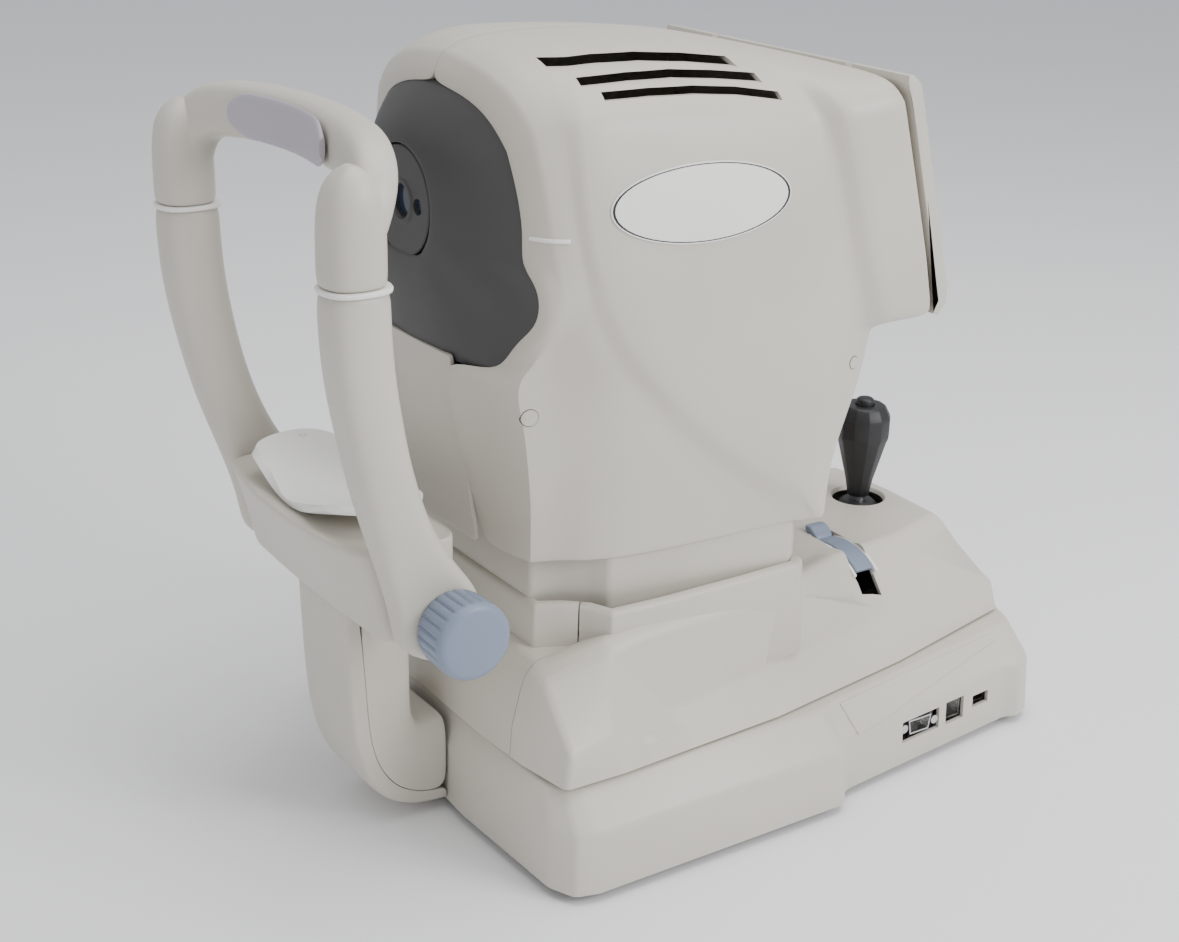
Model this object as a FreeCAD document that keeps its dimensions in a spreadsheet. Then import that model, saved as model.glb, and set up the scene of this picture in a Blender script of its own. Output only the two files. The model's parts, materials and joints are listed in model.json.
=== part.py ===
import FreeCAD, Part
import math
import os

# A desk-top autorefractor: a measuring head on a cross-slide stage, which stands on a base with a chin
# and forehead rest. Millimetres, +X to the right as the patient sees it, +Y from patient to operator,
# +Z up. The origin is the middle of the floor rectangle that the instrument covers; pieces are drawn
# 21 mm further back, about the middle of the head's travel, and node() brings each one to the origin.

doc = FreeCAD.newDocument("autorefractor")
sheet = doc.addObject("Spreadsheet::Sheet", "sizes")
SIZES = {
    "total_width": 317,
    "total_depth": 521,
    "total_height": 447,
    "drawn_back": 21,
    "wall": 2.5,
    "foot_height": 6,
    "foot_radius": 11,
    "base_top": 63,
    "stage_bottom": 65,
    "shelf_height": 119,
    "tier_top": 145,
    "sleeve_top": 203,
    "head_bottom": 172,
    "side_travel": 42,
    "depth_travel": 20,
    "lift_travel": 30,
    "chin_travel": 65,
    "rail_radius": 6,
    "shaft_radius": 7,
    "running_gap": 0.05,
    "column_radius": 20,
    "screw_radius": 7,
    "screw_length": 105,
    "window_height": 361,
    "window_radius": 30,
    "window_plane": 141.5,
    "lens_radius": 9,
    "barrel_radius": 26,
    "side_hole_offset": 18,
    "side_hole_radius": 4.5,
    "upright_offset": 100,
    "upright_width": 30,
    "ring_height": 348,
    "bar_bottom": 385,
    "bar_height": 30,
    "post_half_width": 30,
    "rod_radius": 6,
    "knob_radius": 21.7,
    "knob_length": 26,
    "knob_height": 161,
    "knob_y": -171.5,
    "knob_flutes": 24,
    "pinion_radius": 7,
    "joystick_y": 205.5,
    "joystick_pivot": 102,
    "grip_radius": 18,
    "monitor_lean": 15.8,
    "serial_y": 144,
    "lan_y": 176,
    "usb_y": 201,
    "port_height": 27,
    "jackscrew_pitch": 25,
    "roll_radius": 20,
    "badge_length": 114,
    "badge_height": 42,
}
for row, (alias, value) in enumerate(SIZES.items(), start=1):
    sheet.set(f"A{row}", alias)
    sheet.set(f"B{row}", str(value))
    sheet.setAlias(f"B{row}", alias)
doc.recompute()

size = {alias: float(value) for alias, value in SIZES.items()}
FRONT = size["drawn_back"] - size["total_depth"] / 2
REAR = size["drawn_back"] + size["total_depth"] / 2
SIDE = size["total_width"] / 2
X_AXIS = FreeCAD.Vector(1, 0, 0)
Y_AXIS = FreeCAD.Vector(0, 1, 0)
Z_AXIS = FreeCAD.Vector(0, 0, 1)
nodes = []


# ---- how pieces are made -------------------------------------------------------------------------

def node(thing, label):
    """Name a finished sub-part and bring it to the origin; its label names its file."""
    thing.Label = label
    thing.Placement.Base = thing.Placement.Base - FreeCAD.Vector(0, size["drawn_back"], 0)
    nodes.append(thing)
    return thing


def tool(kind, hint):
    return doc.addObject(kind, hint)


def bind(thing, **expressions):
    for name, expression in expressions.items():
        thing.setExpression(name, expression)
    return thing


def box(low, high, hint="block", **expressions):
    """A block between two opposite corners."""
    block = tool("Part::Box", hint)
    block.Length, block.Width, block.Height = [b - a for a, b in zip(low, high)]
    block.Placement.Base = FreeCAD.Vector(*low)
    return bind(block, **expressions)


def cylinder(start, axis, radius, length, hint="round"):
    """A round bar from start along axis; radius and length are numbers or expressions."""
    bar = tool("Part::Cylinder", hint)
    bar.Placement = FreeCAD.Placement(FreeCAD.Vector(*start), FreeCAD.Rotation(Z_AXIS, axis))
    for name, value in (("Radius", radius), ("Height", length)):
        if isinstance(value, str):
            bar.setExpression(name, value)
        else:
            setattr(bar, name, value)
    return bar


def fuse(pieces, hint="joined"):
    joined = tool("Part::MultiFuse", hint)
    joined.Shapes = pieces
    return joined


def cut(thing, cutters, hint="cut"):
    result = tool("Part::Cut", hint)
    result.Base = thing
    result.Tool = cutters[0] if len(cutters) == 1 else fuse(cutters, "cutters")
    return result


def common(thing, other, hint="shared"):
    result = tool("Part::MultiCommon", hint)
    result.Shapes = [thing, other]
    return result


def group(pieces, hint="group"):
    """Separate solids of one kind that share a node."""
    several = tool("Part::Compound", hint)
    several.Links = pieces
    return several


def new_body(hint):
    return tool("PartDesign::Body", hint)


def outline(body, role, points, offset=None):
    """A closed sketch of straight runs on one of the body's own origin planes."""
    sketch = body.newObject("Sketcher::SketchObject", body.Name + "_sketch")
    plane = [one for one in body.Origin.OriginFeatures if one.Role == role][0]
    sketch.AttachmentSupport = [(plane, "")]
    sketch.MapMode = "FlatFace"
    corners = [FreeCAD.Vector(a, b, 0) for a, b in points]
    for start, end in zip(corners, corners[1:] + corners[:1]):
        sketch.addGeometry(Part.LineSegment(start, end))
    if offset is not None:
        sketch.setExpression("AttachmentOffset.Base.z", str(offset))
    return sketch


def prism(role, points, low, high, hint="prism"):
    """An outline padded from low to high along the normal of its plane (XZ: towards -Y)."""
    body = new_body(hint)
    sketch = outline(body, role, points, low)
    pad = body.newObject("PartDesign::Pad", hint + "_pad")
    pad.Profile = sketch
    pad.setExpression("Length", f"({high}) - ({low})")
    body.Tip = pad
    return body


def lofted(sections, role="XY_Plane", hint="loft"):
    """A solid through outlines that have the same number of corners; sections are (place, points)."""
    body = new_body(hint)
    sketches = [outline(body, role, points, place) for place, points in sections]
    loft = body.newObject("PartDesign::AdditiveLoft", hint + "_loft")
    loft.Profile = sketches[0]
    loft.Sections = sketches[1:]
    loft.Ruled = True
    body.Tip = loft
    return body


def revolved(points, hint="turned"):
    """A solid turned about Z from a half outline in the XZ plane."""
    body = new_body(hint)
    sketch = outline(body, "XZ_Plane", points)
    turn = body.newObject("PartDesign::Revolution", hint + "_turn")
    turn.Profile = sketch
    turn.ReferenceAxis = (sketch, ["V_Axis"])
    turn.Angle = 360
    body.Tip = turn
    return body


def both_sides(half):
    """Mirror a half outline, front to rear, about x = 0."""
    mirrored = [(-x, y) for x, y in reversed(half) if x > 0]
    return half + mirrored


def inset(points, wall):
    """Move an outline inwards by about the wall, keeping its corners."""
    wide = max(abs(x) for x, _ in points)
    low = min(y for _, y in points)
    high = max(y for _, y in points)
    middle = (low + high) / 2
    long = (high - low) / 2
    return [(x * (wide - wall) / wide, middle + (y - middle) * (long - wall) / long) for x, y in points]


def skin(sections, wall, hint, floor_open=True, roof_open=False):
    """A moulded shell: the loft through the sections, less the loft through their insets."""
    outer = lofted(sections, hint=hint)
    inner = [[place, inset(points, wall)] for place, points in sections]
    inner[0][0] = sections[0][0] - 1 if floor_open else sections[0][0] + wall
    inner[-1][0] = sections[-1][0] + 1 if roof_open else sections[-1][0] - wall
    return cut(outer, [lofted([tuple(one) for one in inner], hint=hint + "_hollow")], hint + "_shell")


# ---- base: cover, plate, feet --------------------------------------------------------------------
COVER_BOTTOM = size["foot_height"]
base_low = [(0, -130), (50, -133), (138, -131), (154, -124), (158, -110), (SIDE, 58), (152, 72),
            (146, 90), (131, 232), (132, 240), (128, 250), (100, 261), (62, REAR), (0, REAR)]
base_mid = [(0, -130), (50, -132), (137, -130), (152, -122), (156, -108), (157, 58), (150, 72),
            (144, 90), (129, 232), (129, 240), (125, 250), (97, 261), (61, REAR), (0, REAR)]
base_high = [(0, -126), (50, -126), (122, -126), (134, -120), (138, -110), (140, 58), (138, 72),
             (134, 90), (113, 232), (111, 240), (104, 248), (82, 256), (54, REAR - 2.5), (0, REAR - 2.5)]
base_shell = skin([(COVER_BOTTOM, both_sides(base_low)), (42, both_sides(base_mid)),
                   (size["base_top"], both_sides(base_high))], size["wall"], "base")
stage_well = box((-92, -44, 50), (92, 144, 70), "stage_well")
serial_place = (134, size["serial_y"], size["port_height"])
lan_place = (131, size["lan_y"], size["port_height"])
usb_place = (128, size["usb_y"], size["port_height"])


def port_window(place, wide, high):
    x, y, z = place
    return box((x - 14, y - wide / 2, z - high / 2), (x + 20, y + wide / 2, z + high / 2), "port_window")


INLET_Y = 150
SWITCH_Y = 195
windows = [port_window(serial_place, 34, 14), port_window(lan_place, 17, 15), port_window(usb_place, 15, 8)]
windows.append(box((-150, INLET_Y - 15, 15), (-110, INLET_Y + 15, 39), "inlet_window"))
windows.append(box((-150, SWITCH_Y - 11, 19), (-110, SWITCH_Y + 11, 35), "switch_window"))
windows.append(box((-40, REAR - 20, 14), (40, REAR + 5, 54), "printer_window"))
DOOR_LEFT = -39
DOOR_RIGHT = 39
DOOR_THICK = 3
HINGE_Y = REAR - DOOR_THICK / 2
HINGE_Z = 16.5
windows.append(cylinder((DOOR_LEFT - 3, HINGE_Y, HINGE_Z), X_AXIS, 0.85, DOOR_RIGHT - DOOR_LEFT + 6, "hinge_holes"))
node(cut(base_shell, [stage_well] + windows, "base_cover"), "base_cover")

plate_half = [(0, -122), (140, -122), (147, -108), (147, 50), (134, 90), (118, 232), (112, 244), (50, 262), (0, 262)]
node(prism("XY_Plane", both_sides(plate_half), COVER_BOTTOM, COVER_BOTTOM + 3, "base_plate"), "base_plate")

feet = []
for x, y in ((128, -105), (-128, -105), (104, 222), (-104, 222)):
    foot = cylinder((x, y, 0), Z_AXIS, "sizes.foot_radius", "sizes.foot_height", "foot")
    feet.append(foot)
node(group(feet, "rubber_feet"), "rubber_feet")

# ---- base: sockets on the right, power on the left ------------------------------------------------
PORT_DEPTH = 12


def socket(place, wide, high, wall):
    """A metal can, open towards +X, with a tongue inside."""
    x, y, z = place
    can = box((x - PORT_DEPTH, y - wide / 2, z - high / 2), (x, y + wide / 2, z + high / 2), "can")
    mouth = box((x - PORT_DEPTH + 1, y - wide / 2 + wall, z - high / 2 + wall),
                (x + 1, y + wide / 2 - wall, z + high / 2 - wall), "mouth")
    return cut(can, [mouth], "socket")


x, y, z = serial_place
d_shell = [(y - 9.5, z + 5), (y + 9.5, z + 5), (y + 7.8, z - 5), (y - 7.8, z - 5)]
d_mouth = [(y - 8.5, z + 4), (y + 8.5, z + 4), (y + 7, z - 4), (y - 7, z - 4)]
flange = box((x - 4, y - 16, z - 6.5), (x - 2, y + 16, z + 6.5), "serial_flange")
d_body = fuse([prism("YZ_Plane", d_shell, x - PORT_DEPTH, x + 3, "serial_d"), flange], "serial_body")
jack_holes = [cylinder((x - 6, y + side * size["jackscrew_pitch"] / 2, z), X_AXIS, 1.7, 8, "jack_hole")
              for side in (-1, 1)]
node(cut(d_body, [prism("YZ_Plane", d_mouth, x - 8, x + 4, "serial_mouth")] + jack_holes), "serial_port")
jackscrews = []
for side in (-1, 1):
    jack = cylinder((x - 6, y + side * size["jackscrew_pitch"] / 2, z), X_AXIS, 1.65, 8.5, "jack_stem")
    head = cylinder((x - 2, y + side * size["jackscrew_pitch"] / 2, z), X_AXIS, 2.8, 5, "jack_head")
    jackscrews.append(fuse([jack, head], "jackscrew"))
node(group(jackscrews, "port_jackscrews"), "port_jackscrews")
node(socket(lan_place, 16, 14, 1), "lan_port")
usb_can = socket(usb_place, 14, 7, 0.6)
ux, uy, uz = usb_place
node(fuse([usb_can, box((ux - 11.5, uy - 5.5, uz), (ux - 2, uy + 5.5, uz + 1.8), "tongue")]), "usb_port")

inlet_face = -127
inlet = box((inlet_face, INLET_Y - 14.5, 15.5), (inlet_face + 20, INLET_Y + 14.5, 38.5), "inlet_body")
inlet_mouth = box((inlet_face - 1, INLET_Y - 12, 19), (inlet_face + 16, INLET_Y + 12, 35), "inlet_mouth")
inlet_pins = []
for shift in (-7, 0, 7):
    pin_y = INLET_Y + shift
    inlet_pins.append(box((inlet_face + 2, pin_y - 1, 25), (inlet_face + 17, pin_y + 1, 29), "inlet_pin"))
inlet_socket = fuse([cut(inlet, [inlet_mouth])] + inlet_pins, "inlet")
switch_face = -122
switch_can = box((switch_face, SWITCH_Y - 10.5, 19.5), (switch_face + 18, SWITCH_Y + 10.5, 34.5), "can")
switch_hole = box((switch_face - 1, SWITCH_Y - 9, 21), (switch_face + 10, SWITCH_Y + 9, 33), "switch_hole")
PIVOT_DEPTH = 5
pivot_hole = cylinder((switch_face + PIVOT_DEPTH, SWITCH_Y, 19.9), Z_AXIS, 1.05, 14.2, "pivot_hole")
node(group([inlet_socket, cut(switch_can, [switch_hole, pivot_hole])], "inlet_and_switch"), "power_inlet")
rocker_outline = [(switch_face - 2.5, SWITCH_Y - 8), (switch_face + 0.5, SWITCH_Y),
                  (switch_face - 0.5, SWITCH_Y + 8), (switch_face + 5, SWITCH_Y + 5),
                  (switch_face + 7, SWITCH_Y), (switch_face + 5, SWITCH_Y - 6)]
rocker = prism("XY_Plane", rocker_outline, 21.5, 32.5, "rocker")
rocker_pin = cylinder((switch_face + PIVOT_DEPTH, SWITCH_Y, 20.2), Z_AXIS, 1, 13.6, "rocker_pin")
node(fuse([rocker, rocker_pin], "switch"), "power_switch")

# ---- base: receipt printer behind its door, main board --------------------------------------------
DOOR_HIGH = 53
door_panel = box((DOOR_LEFT, REAR - DOOR_THICK, HINGE_Z), (DOOR_RIGHT, REAR, DOOR_HIGH), "door_panel")
door_barrel = cylinder((DOOR_LEFT, HINGE_Y, HINGE_Z), X_AXIS, DOOR_THICK / 2, DOOR_RIGHT - DOOR_LEFT, "barrel")
door_pin = cylinder((DOOR_LEFT - 2.5, HINGE_Y, HINGE_Z), X_AXIS, 0.8, DOOR_RIGHT - DOOR_LEFT + 5, "door_pin")
door_slot = box((DOOR_LEFT + 9, REAR - DOOR_THICK - 1, 46), (DOOR_RIGHT - 9, REAR + 1, 48), "paper_slot")
node(cut(fuse([door_panel, door_barrel, door_pin], "door"), [door_slot]), "printer_door")
ROLL_Y = REAR - 38
printer_walls = [box((side, ROLL_Y - 22, 9), (side + 3, ROLL_Y + 28, 50), "printer_wall") for side in (-44, 41)]
spindle = cylinder((-41, ROLL_Y, 32), X_AXIS, 4, 82, "spindle")
head_bar = box((-41, ROLL_Y + 23, 49), (41, ROLL_Y + 30, 54), "print_head")
node(fuse(printer_walls + [spindle, head_bar], "printer_frame"), "printer_frame")
roll = cylinder((-29, ROLL_Y, 32), X_AXIS, "sizes.roll_radius", 58, "roll")
core = cylinder((-30, ROLL_Y, 32), X_AXIS, 5, 60, "core")
node(cut(roll, [core]), "paper_roll")
board = box((50, 150, 12), (104, 226, 13.6), "board")
chips = [box((a, b, 13.6), (a + 14, b + 14, 16), "chip") for a in (56, 82) for b in (156, 180, 204)]
node(fuse([board] + chips, "main_board"), "main_board")

# ---- cross slide: rails on the base, carriage, shafts ----------------------------------------------
RAIL_HEIGHT = 26
SHAFT_HEIGHT = 46
RAIL_X = 96
rails = [cylinder((side * RAIL_X, -60, RAIL_HEIGHT), Y_AXIS, "sizes.rail_radius", 200, "rail")
         for side in (-1, 1)]
node(group(rails, "depth_rails"), "depth_rails")
blocks = []
for side in (-1, 1):
    for y in (-60, 130):
        block = box((side * RAIL_X - 9, y, COVER_BOTTOM + 3), (side * RAIL_X + 9, y + 10, 34), "foot_block")
        rail_bore = cylinder((side * RAIL_X, y - 1, RAIL_HEIGHT), Y_AXIS, "sizes.rail_radius + 0.01", 12)
        blocks.append(cut(block, [rail_bore]))
node(group(blocks, "rail_blocks"), "rail_blocks")
SHAFT_Y = (0, 80)
carriage_parts = []
carriage_bores = []
for side in (-1, 1):
    slab = box((side * RAIL_X - 10, -16, 17), (side * RAIL_X + 10, 96, 55), "carriage_end")
    carriage_parts.append(slab)
    carriage_bores.append(cylinder((side * RAIL_X, -20, RAIL_HEIGHT), Y_AXIS,
                                   "sizes.rail_radius + sizes.running_gap", 120, "carriage_bore"))
carriage_parts.append(box((-RAIL_X, 34, 17), (RAIL_X, 46, 21), "carriage_tie"))
for y in SHAFT_Y:
    carriage_bores.append(cylinder((-RAIL_X - 12, y, SHAFT_HEIGHT), X_AXIS, "sizes.shaft_radius", 232, "seat"))
node(cut(fuse(carriage_parts, "carriage"), carriage_bores), "slide_carriage")
shafts = [cylinder((-RAIL_X - 8, y, SHAFT_HEIGHT), X_AXIS, "sizes.shaft_radius", 2 * RAIL_X + 16, "shaft")
          for y in SHAFT_Y]
node(group(shafts, "side_shafts"), "side_shafts")

# ---- stage: plate, bearings, guide tube, motor, covers ---------------------------------------------
STAGE_FLOOR = size["stage_bottom"] + 2
STAGE_DECK = STAGE_FLOOR + 4
plate = box((-90, -95, STAGE_FLOOR), (90, 180, STAGE_DECK), "plate")
tail = box((-40, 178, STAGE_FLOOR), (40, 232, STAGE_DECK), "plate_tail")
node(fuse([plate, tail], "stage_plate"), "stage_plate")
bearings = []
for y in SHAFT_Y:
    bearing = box((-38, y - 12, 35), (38, y + 12, STAGE_FLOOR), "bearing")
    bearing_bore = cylinder((-40, y, SHAFT_HEIGHT), X_AXIS, "sizes.shaft_radius + sizes.running_gap", 80)
    bearings.append(cut(bearing, [bearing_bore]))
node(group(bearings, "side_bearings"), "side_bearings")
COLUMN_Y = -20
tube = cylinder((0, COLUMN_Y, STAGE_DECK), Z_AXIS, "sizes.column_radius + 6", 80, "tube")
tube_bore = cylinder((0, COLUMN_Y, STAGE_DECK - 1), Z_AXIS, "sizes.column_radius + sizes.running_gap", 83)
node(cut(tube, [tube_bore]), "lift_guide")
MOTOR_TOP = STAGE_DECK + 44
motor = box((-22, 20, STAGE_DECK), (22, 64, MOTOR_TOP), "motor")
motor_boss = cylinder((0, 42, MOTOR_TOP), Z_AXIS, 11, 5, "motor_boss")
node(fuse([motor, motor_boss], "lift_motor"), "lift_motor")
screw = cylinder((0, COLUMN_Y, STAGE_DECK + 2), Z_AXIS, "sizes.screw_radius", "sizes.screw_length", "screw")
node(screw, "lift_screw")

stage_low = [(0, -129.5), (63, -131.5), (105, -128.5), (141, -122.5), (142, -85.5), (139, -30.5),
             (136, 29.5), (120, 138.5), (96, 248), (70, 257), (0, 258)]
stage_ridge = [(0, -128.5), (63, -130), (105, -127), (140, -118.5), (134, -85), (124, -42),
               (112, 45.5), (96, 159.5), (92, 245), (66, 252), (0, 252)]
stage_shelf = [(0, -118), (60, -118), (100, -119.5), (108, -116), (97, -87), (86, -56.5),
               (81, 19.5), (71, 130), (68, 185.5), (54, 236), (0, 239)]
stage_roof = [(0, -110), (57, -110), (92, -112), (99, -108), (90, -85), (80, -56),
              (76, 19.5), (67, 130), (64, 183), (50, 230), (0, 233)]
stage_sections = [(size["stage_bottom"], both_sides(stage_low)), (84, both_sides(stage_ridge)),
                  (113, both_sides(stage_shelf)), (size["shelf_height"] + 1, both_sides(stage_roof))]
stage_shell = skin(stage_sections, size["wall"], "stage")
tier_plan = [(0, -105), (79, -105), (86, -92), (97, -79.5), (110, -73.5), (111, 60), (104, 68), (0, 68)]
tier_foot = [(0, -107), (80, -107), (88, -93), (98, -81), (112, -75), (113, 62), (105, 71), (0, 71)]
tier = skin([(86, both_sides(tier_foot)), (size["tier_top"], both_sides(tier_plan))], size["wall"], "tier",
            roof_open=True)
neck_well = prism("XY_Plane", both_sides(inset(tier_plan, size["wall"])), 80, 130, "neck_well")
joystick_hole = cylinder((0, size["joystick_y"], 100), Z_AXIS, 17, 40, "joystick_hole")
LEVER_X = 54
LEVER_Y = 141
lever_window = box((LEVER_X - 28, LEVER_Y - 10, 84), (LEVER_X + 26, LEVER_Y + 10, 130), "lever_window")
tier_outer = prism("XY_Plane", both_sides(inset(tier_foot, 1)), 60, 160, "tier_outer")
stage_open = cut(stage_shell, [tier_outer, joystick_hole, lever_window], "stage_open")
stage_cover = fuse([stage_open, tier], "stage_cover")
front_cover_box = box((-93, -140, 60), (93, -76.5, 160), "front_cover_box")
rear_gap_box = box((-93.3, -141, 59), (93.3, -76.2, 161), "rear_gap_box")
node(common(stage_cover, front_cover_box), "stage_front_cover")
node(cut(stage_cover, [rear_gap_box]), "stage_rear_cover")

sleeve_plan = [(0, -102), (70, -102), (76, -84), (88, -70.5), (95, -65.5), (100, -11), (105, 56),
               (98, 65), (0, 65)]
sleeve = skin([(124, both_sides(sleeve_plan)), (size["sleeve_top"], both_sides(sleeve_plan))], size["wall"],
              "sleeve", roof_open=True)
node(sleeve, "neck_sleeve")

# ---- stage: lock lever in its socket ----------------------------------------------------------------
LEVER_PIVOT = 78
LEVER_RADIUS = 42


def arc_band(inner, outer, start, end, count=10):
    """Corner points of a ring sector in the XZ plane about the lever's pivot, angles from +X."""
    turns = [math.radians(start + (end - start) * i / count) for i in range(count + 1)]
    far = [(LEVER_X + outer * math.cos(a), LEVER_PIVOT + outer * math.sin(a)) for a in turns]
    near = [(LEVER_X + inner * math.cos(a), LEVER_PIVOT + inner * math.sin(a)) for a in reversed(turns)]
    return far + near


LEVER_HALF = 7.5
strip_plan = arc_band(LEVER_RADIUS - 4, LEVER_RADIUS, 75, 110)
strip = prism("XZ_Plane", strip_plan, -LEVER_Y - LEVER_HALF, -LEVER_Y + LEVER_HALF, "strip")
tab = box((LEVER_X - 25, LEVER_Y - LEVER_HALF, 116.5), (LEVER_X - 12, LEVER_Y + LEVER_HALF, 121), "thumb_tab")
web = box((LEVER_X - 3, LEVER_Y - 3, LEVER_PIVOT), (LEVER_X + 3, LEVER_Y + 3, 117), "lever_web")
hub = cylinder((LEVER_X, LEVER_Y - 7, LEVER_PIVOT), Y_AXIS, 6, 14, "lever_hub")
hub_bore = cylinder((LEVER_X, LEVER_Y - 8, LEVER_PIVOT), Y_AXIS, 3.05, 16, "hub_bore")
node(cut(fuse([strip, tab, web, hub], "lever"), [hub_bore]), "lock_lever")
lever_pin = cylinder((LEVER_X, LEVER_Y - 14, LEVER_PIVOT), Y_AXIS, 3, 28, "lever_pin")
ears = []
for ear_y in (LEVER_Y - 11, LEVER_Y + 11):
    ears.append(box((LEVER_X - 6, ear_y - 2.5, STAGE_DECK), (LEVER_X + 6, ear_y + 2.5, 84), "ear"))
lever_bracket = fuse([lever_pin] + ears, "lever_bracket")

# ---- stage: joystick ---------------------------------------------------------------------------------
JX = 0
JY = size["joystick_y"]
JZ = size["joystick_pivot"]
gimbal = box((JX - 12, JY - 12, JZ - 4), (JX + 12, JY + 12, JZ + 4), "gimbal_block")
gimbal_well = box((JX - 9, JY - 9, JZ - 5), (JX + 9, JY + 9, JZ + 5), "gimbal_well")
gimbal_pins = [cylinder((JX + start, JY, JZ), X_AXIS, 2, 3, "gimbal_pin") for start in (-15, 12)]
cross_bores = [cylinder((JX, JY - 13, JZ), Y_AXIS, 2.05, 26, "cross_bore")]
node(cut(fuse([cut(gimbal, [gimbal_well])] + gimbal_pins), cross_bores), "joystick_gimbal")
posts = []
for side in (-1, 1):
    post_x = JX + side * 15
    post = box((post_x - 2, JY - 5, STAGE_DECK), (post_x + 2, JY + 5, JZ + 5), "gimbal_post")
    post_bore = cylinder((post_x - 3, JY, JZ), X_AXIS, 2.05, 6, "post_bore")
    posts.append(cut(post, [post_bore]))
node(group(posts + [lever_bracket], "brackets"), "control_brackets")
stem_parts = [cylinder((JX, JY, JZ - 20), Z_AXIS, 5, 60, "stem")]
stem_parts.append(cylinder((JX, JY - 11.9, JZ), Y_AXIS, 2, 23.8, "cross_pin"))
ball = tool("Part::Sphere", "friction_ball")
ball.Radius = 8
ball.Placement.Base = FreeCAD.Vector(JX, JY, JZ - 20)
stem_parts.append(ball)
node(fuse(stem_parts, "joystick_stem"), "joystick_stem")
DOME_RADIUS = 19
dome_low = math.radians(25)
dome_high = math.acos(9.5 / DOME_RADIUS)
dome_angles = [dome_low + (dome_high - dome_low) * i / 6 for i in range(7)]
dome_outline = [(DOME_RADIUS * math.cos(dome_low) - 2, 10.5)]
dome_outline += [(DOME_RADIUS * math.cos(angle), DOME_RADIUS * math.sin(angle)) for angle in dome_angles]
dome_outline += [(5.1, 16.5), (5.1, 13.5)]
boot = revolved(dome_outline, "boot")
boot.Placement.Base = FreeCAD.Vector(JX, JY, JZ)
node(boot, "joystick_boot")
GRIP_FOOT = 20
GRIP_RADIUS = size["grip_radius"]
grip_outline = [(5.05, GRIP_FOOT), (7.5, GRIP_FOOT), (8.5, 28), (13, 45), (16.5, 60), (GRIP_RADIUS, 64),
                (GRIP_RADIUS, 76), (15, 83), (13, 84), (6.2, 84), (6.2, 77), (5.05, 77)]
grip = revolved(grip_outline, "grip")
grip.Placement.Base = FreeCAD.Vector(JX, JY, JZ)
node(grip, "joystick_grip")
node(fuse([cylinder((JX, JY, JZ + 79), Z_AXIS, 6, 8, "button_stem"),
           cylinder((JX, JY, JZ + 87), Z_AXIS, 4.6, 2, "button_top")], "measure_button"), "measure_button")

# ---- head: covers -----------------------------------------------------------------------------------
head_sections = [
    (172, [(0, -112), (54, -111.5), (77, -108.5), (85, -80.5), (101, -69.5), (105, -11.5),
          (111, 62), (103, 74), (0, 75)]),
    (211, [(0, -124), (54, -123), (82, -113), (87, -92), (101, -72), (108, -11.5),
          (112, 72), (102, 86), (0, 87)]),
    (284, [(0, -136), (40, -136), (74, -121), (90, -98), (104, -72), (111, -10),
          (112, 98), (100, 115), (0, 117)]),
    (288, [(0, -119), (40, -119), (78, -118), (91, -98), (104, -72), (111, -10),
          (114, 120), (113, 148), (0, 148)]),
    (350, [(0, -119), (55, -119), (82, -116), (96, -92), (108, -60), (113, -10),
          (114, 110), (113, 132), (0, 132)]),
    (392, [(0, -119), (55, -119), (76, -117), (92, -92), (105, -60), (111, -10),
          (112, 90), (111, 120), (0, 120)]),
    (418, [(0, -123), (50, -121), (68, -117), (82, -98), (97, -68), (102, -20), (102, 50),
          (101, 112), (0, 113)]),
    (426, [(0, -124), (47, -121), (64, -115), (77, -97), (90, -70), (96, -20), (95, 50),
          (94, 100), (0, 106)]),
    (436, [(0, -124), (44, -121), (58, -112), (70, -95), (80, -70), (88, -20), (86, 20),
          (80, 50), (0, 60)]),
    (447, [(0, -100), (30, -97), (42, -88), (50, -76), (56, -60), (58, -40), (54, -20),
          (40, -8), (0, -5)]),
]
head_shell = skin([(place, both_sides(half)) for place, half in head_sections], size["wall"], "head")
front_panel_box = box((-39.8, -150, 190), (39.8, -95, 286), "front_panel_box")
front_panel_gap = box((-40.1, -151, 189.7), (40.1, -94, 286), "front_panel_gap")
window_bore = cylinder((0, -160, size["window_height"]), Y_AXIS, "sizes.window_radius + 2", 60, "window_bore")
slots = [box((80, start, height), (125, start + 118, height + 3.5), "vent_slot")
         for start, height in ((-84, 431), (-77, 424.5), (-70, 418))]
left_slots = [box((-125, start, height), (-80, start + 118, height + 3.5), "vent_slot")
              for start, height in ((-84, 431), (-77, 424.5), (-70, 418))]
screen_well = box((-60, 60, 320), (60, 170, 380), "screen_well")
right_half = box((0.1, -160, 150), (130, 170, 460), "right_half")
left_half = box((-130, -160, 150), (-0.1, 170, 460), "left_half")
head_open = cut(head_shell, [front_panel_gap, window_bore, screen_well] + slots + left_slots, "head_open")
MARK_HEIGHT = 355
marks = [box((side * 95 - 5, -112, MARK_HEIGHT - 1), (side * 95 + 5, -93, MARK_HEIGHT + 1), "mark")
         for side in (1, -1)]
node(fuse([common(head_open, right_half), marks[0]]), "head_right_cover")
node(fuse([common(head_open, left_half), marks[1]]), "head_left_cover")
node(common(head_shell, front_panel_box), "head_front_cover")

# ---- head: mask, window, lens ------------------------------------------------------------------------
WINDOW = -size["window_plane"]
mask_half = [(0, 422), (40, 417), (64, 406), (70, 392), (77, 370), (80, 356), (76, 338), (86, 333), (90, 325),
             (89, 311), (77, 299), (67, 283), (40, 287), (0, 289)]
mask_crown = [(0, 408), (30, 405), (45, 398), (52, 386), (57, 368), (58, 356), (56, 342), (58, 334), (60, 326),
              (59, 316), (52, 306), (46, 298), (30, 296), (0, 297)]


def xz_mirror(half):
    return half + [(-x, z) for x, z in reversed(half) if x > 0]

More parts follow.
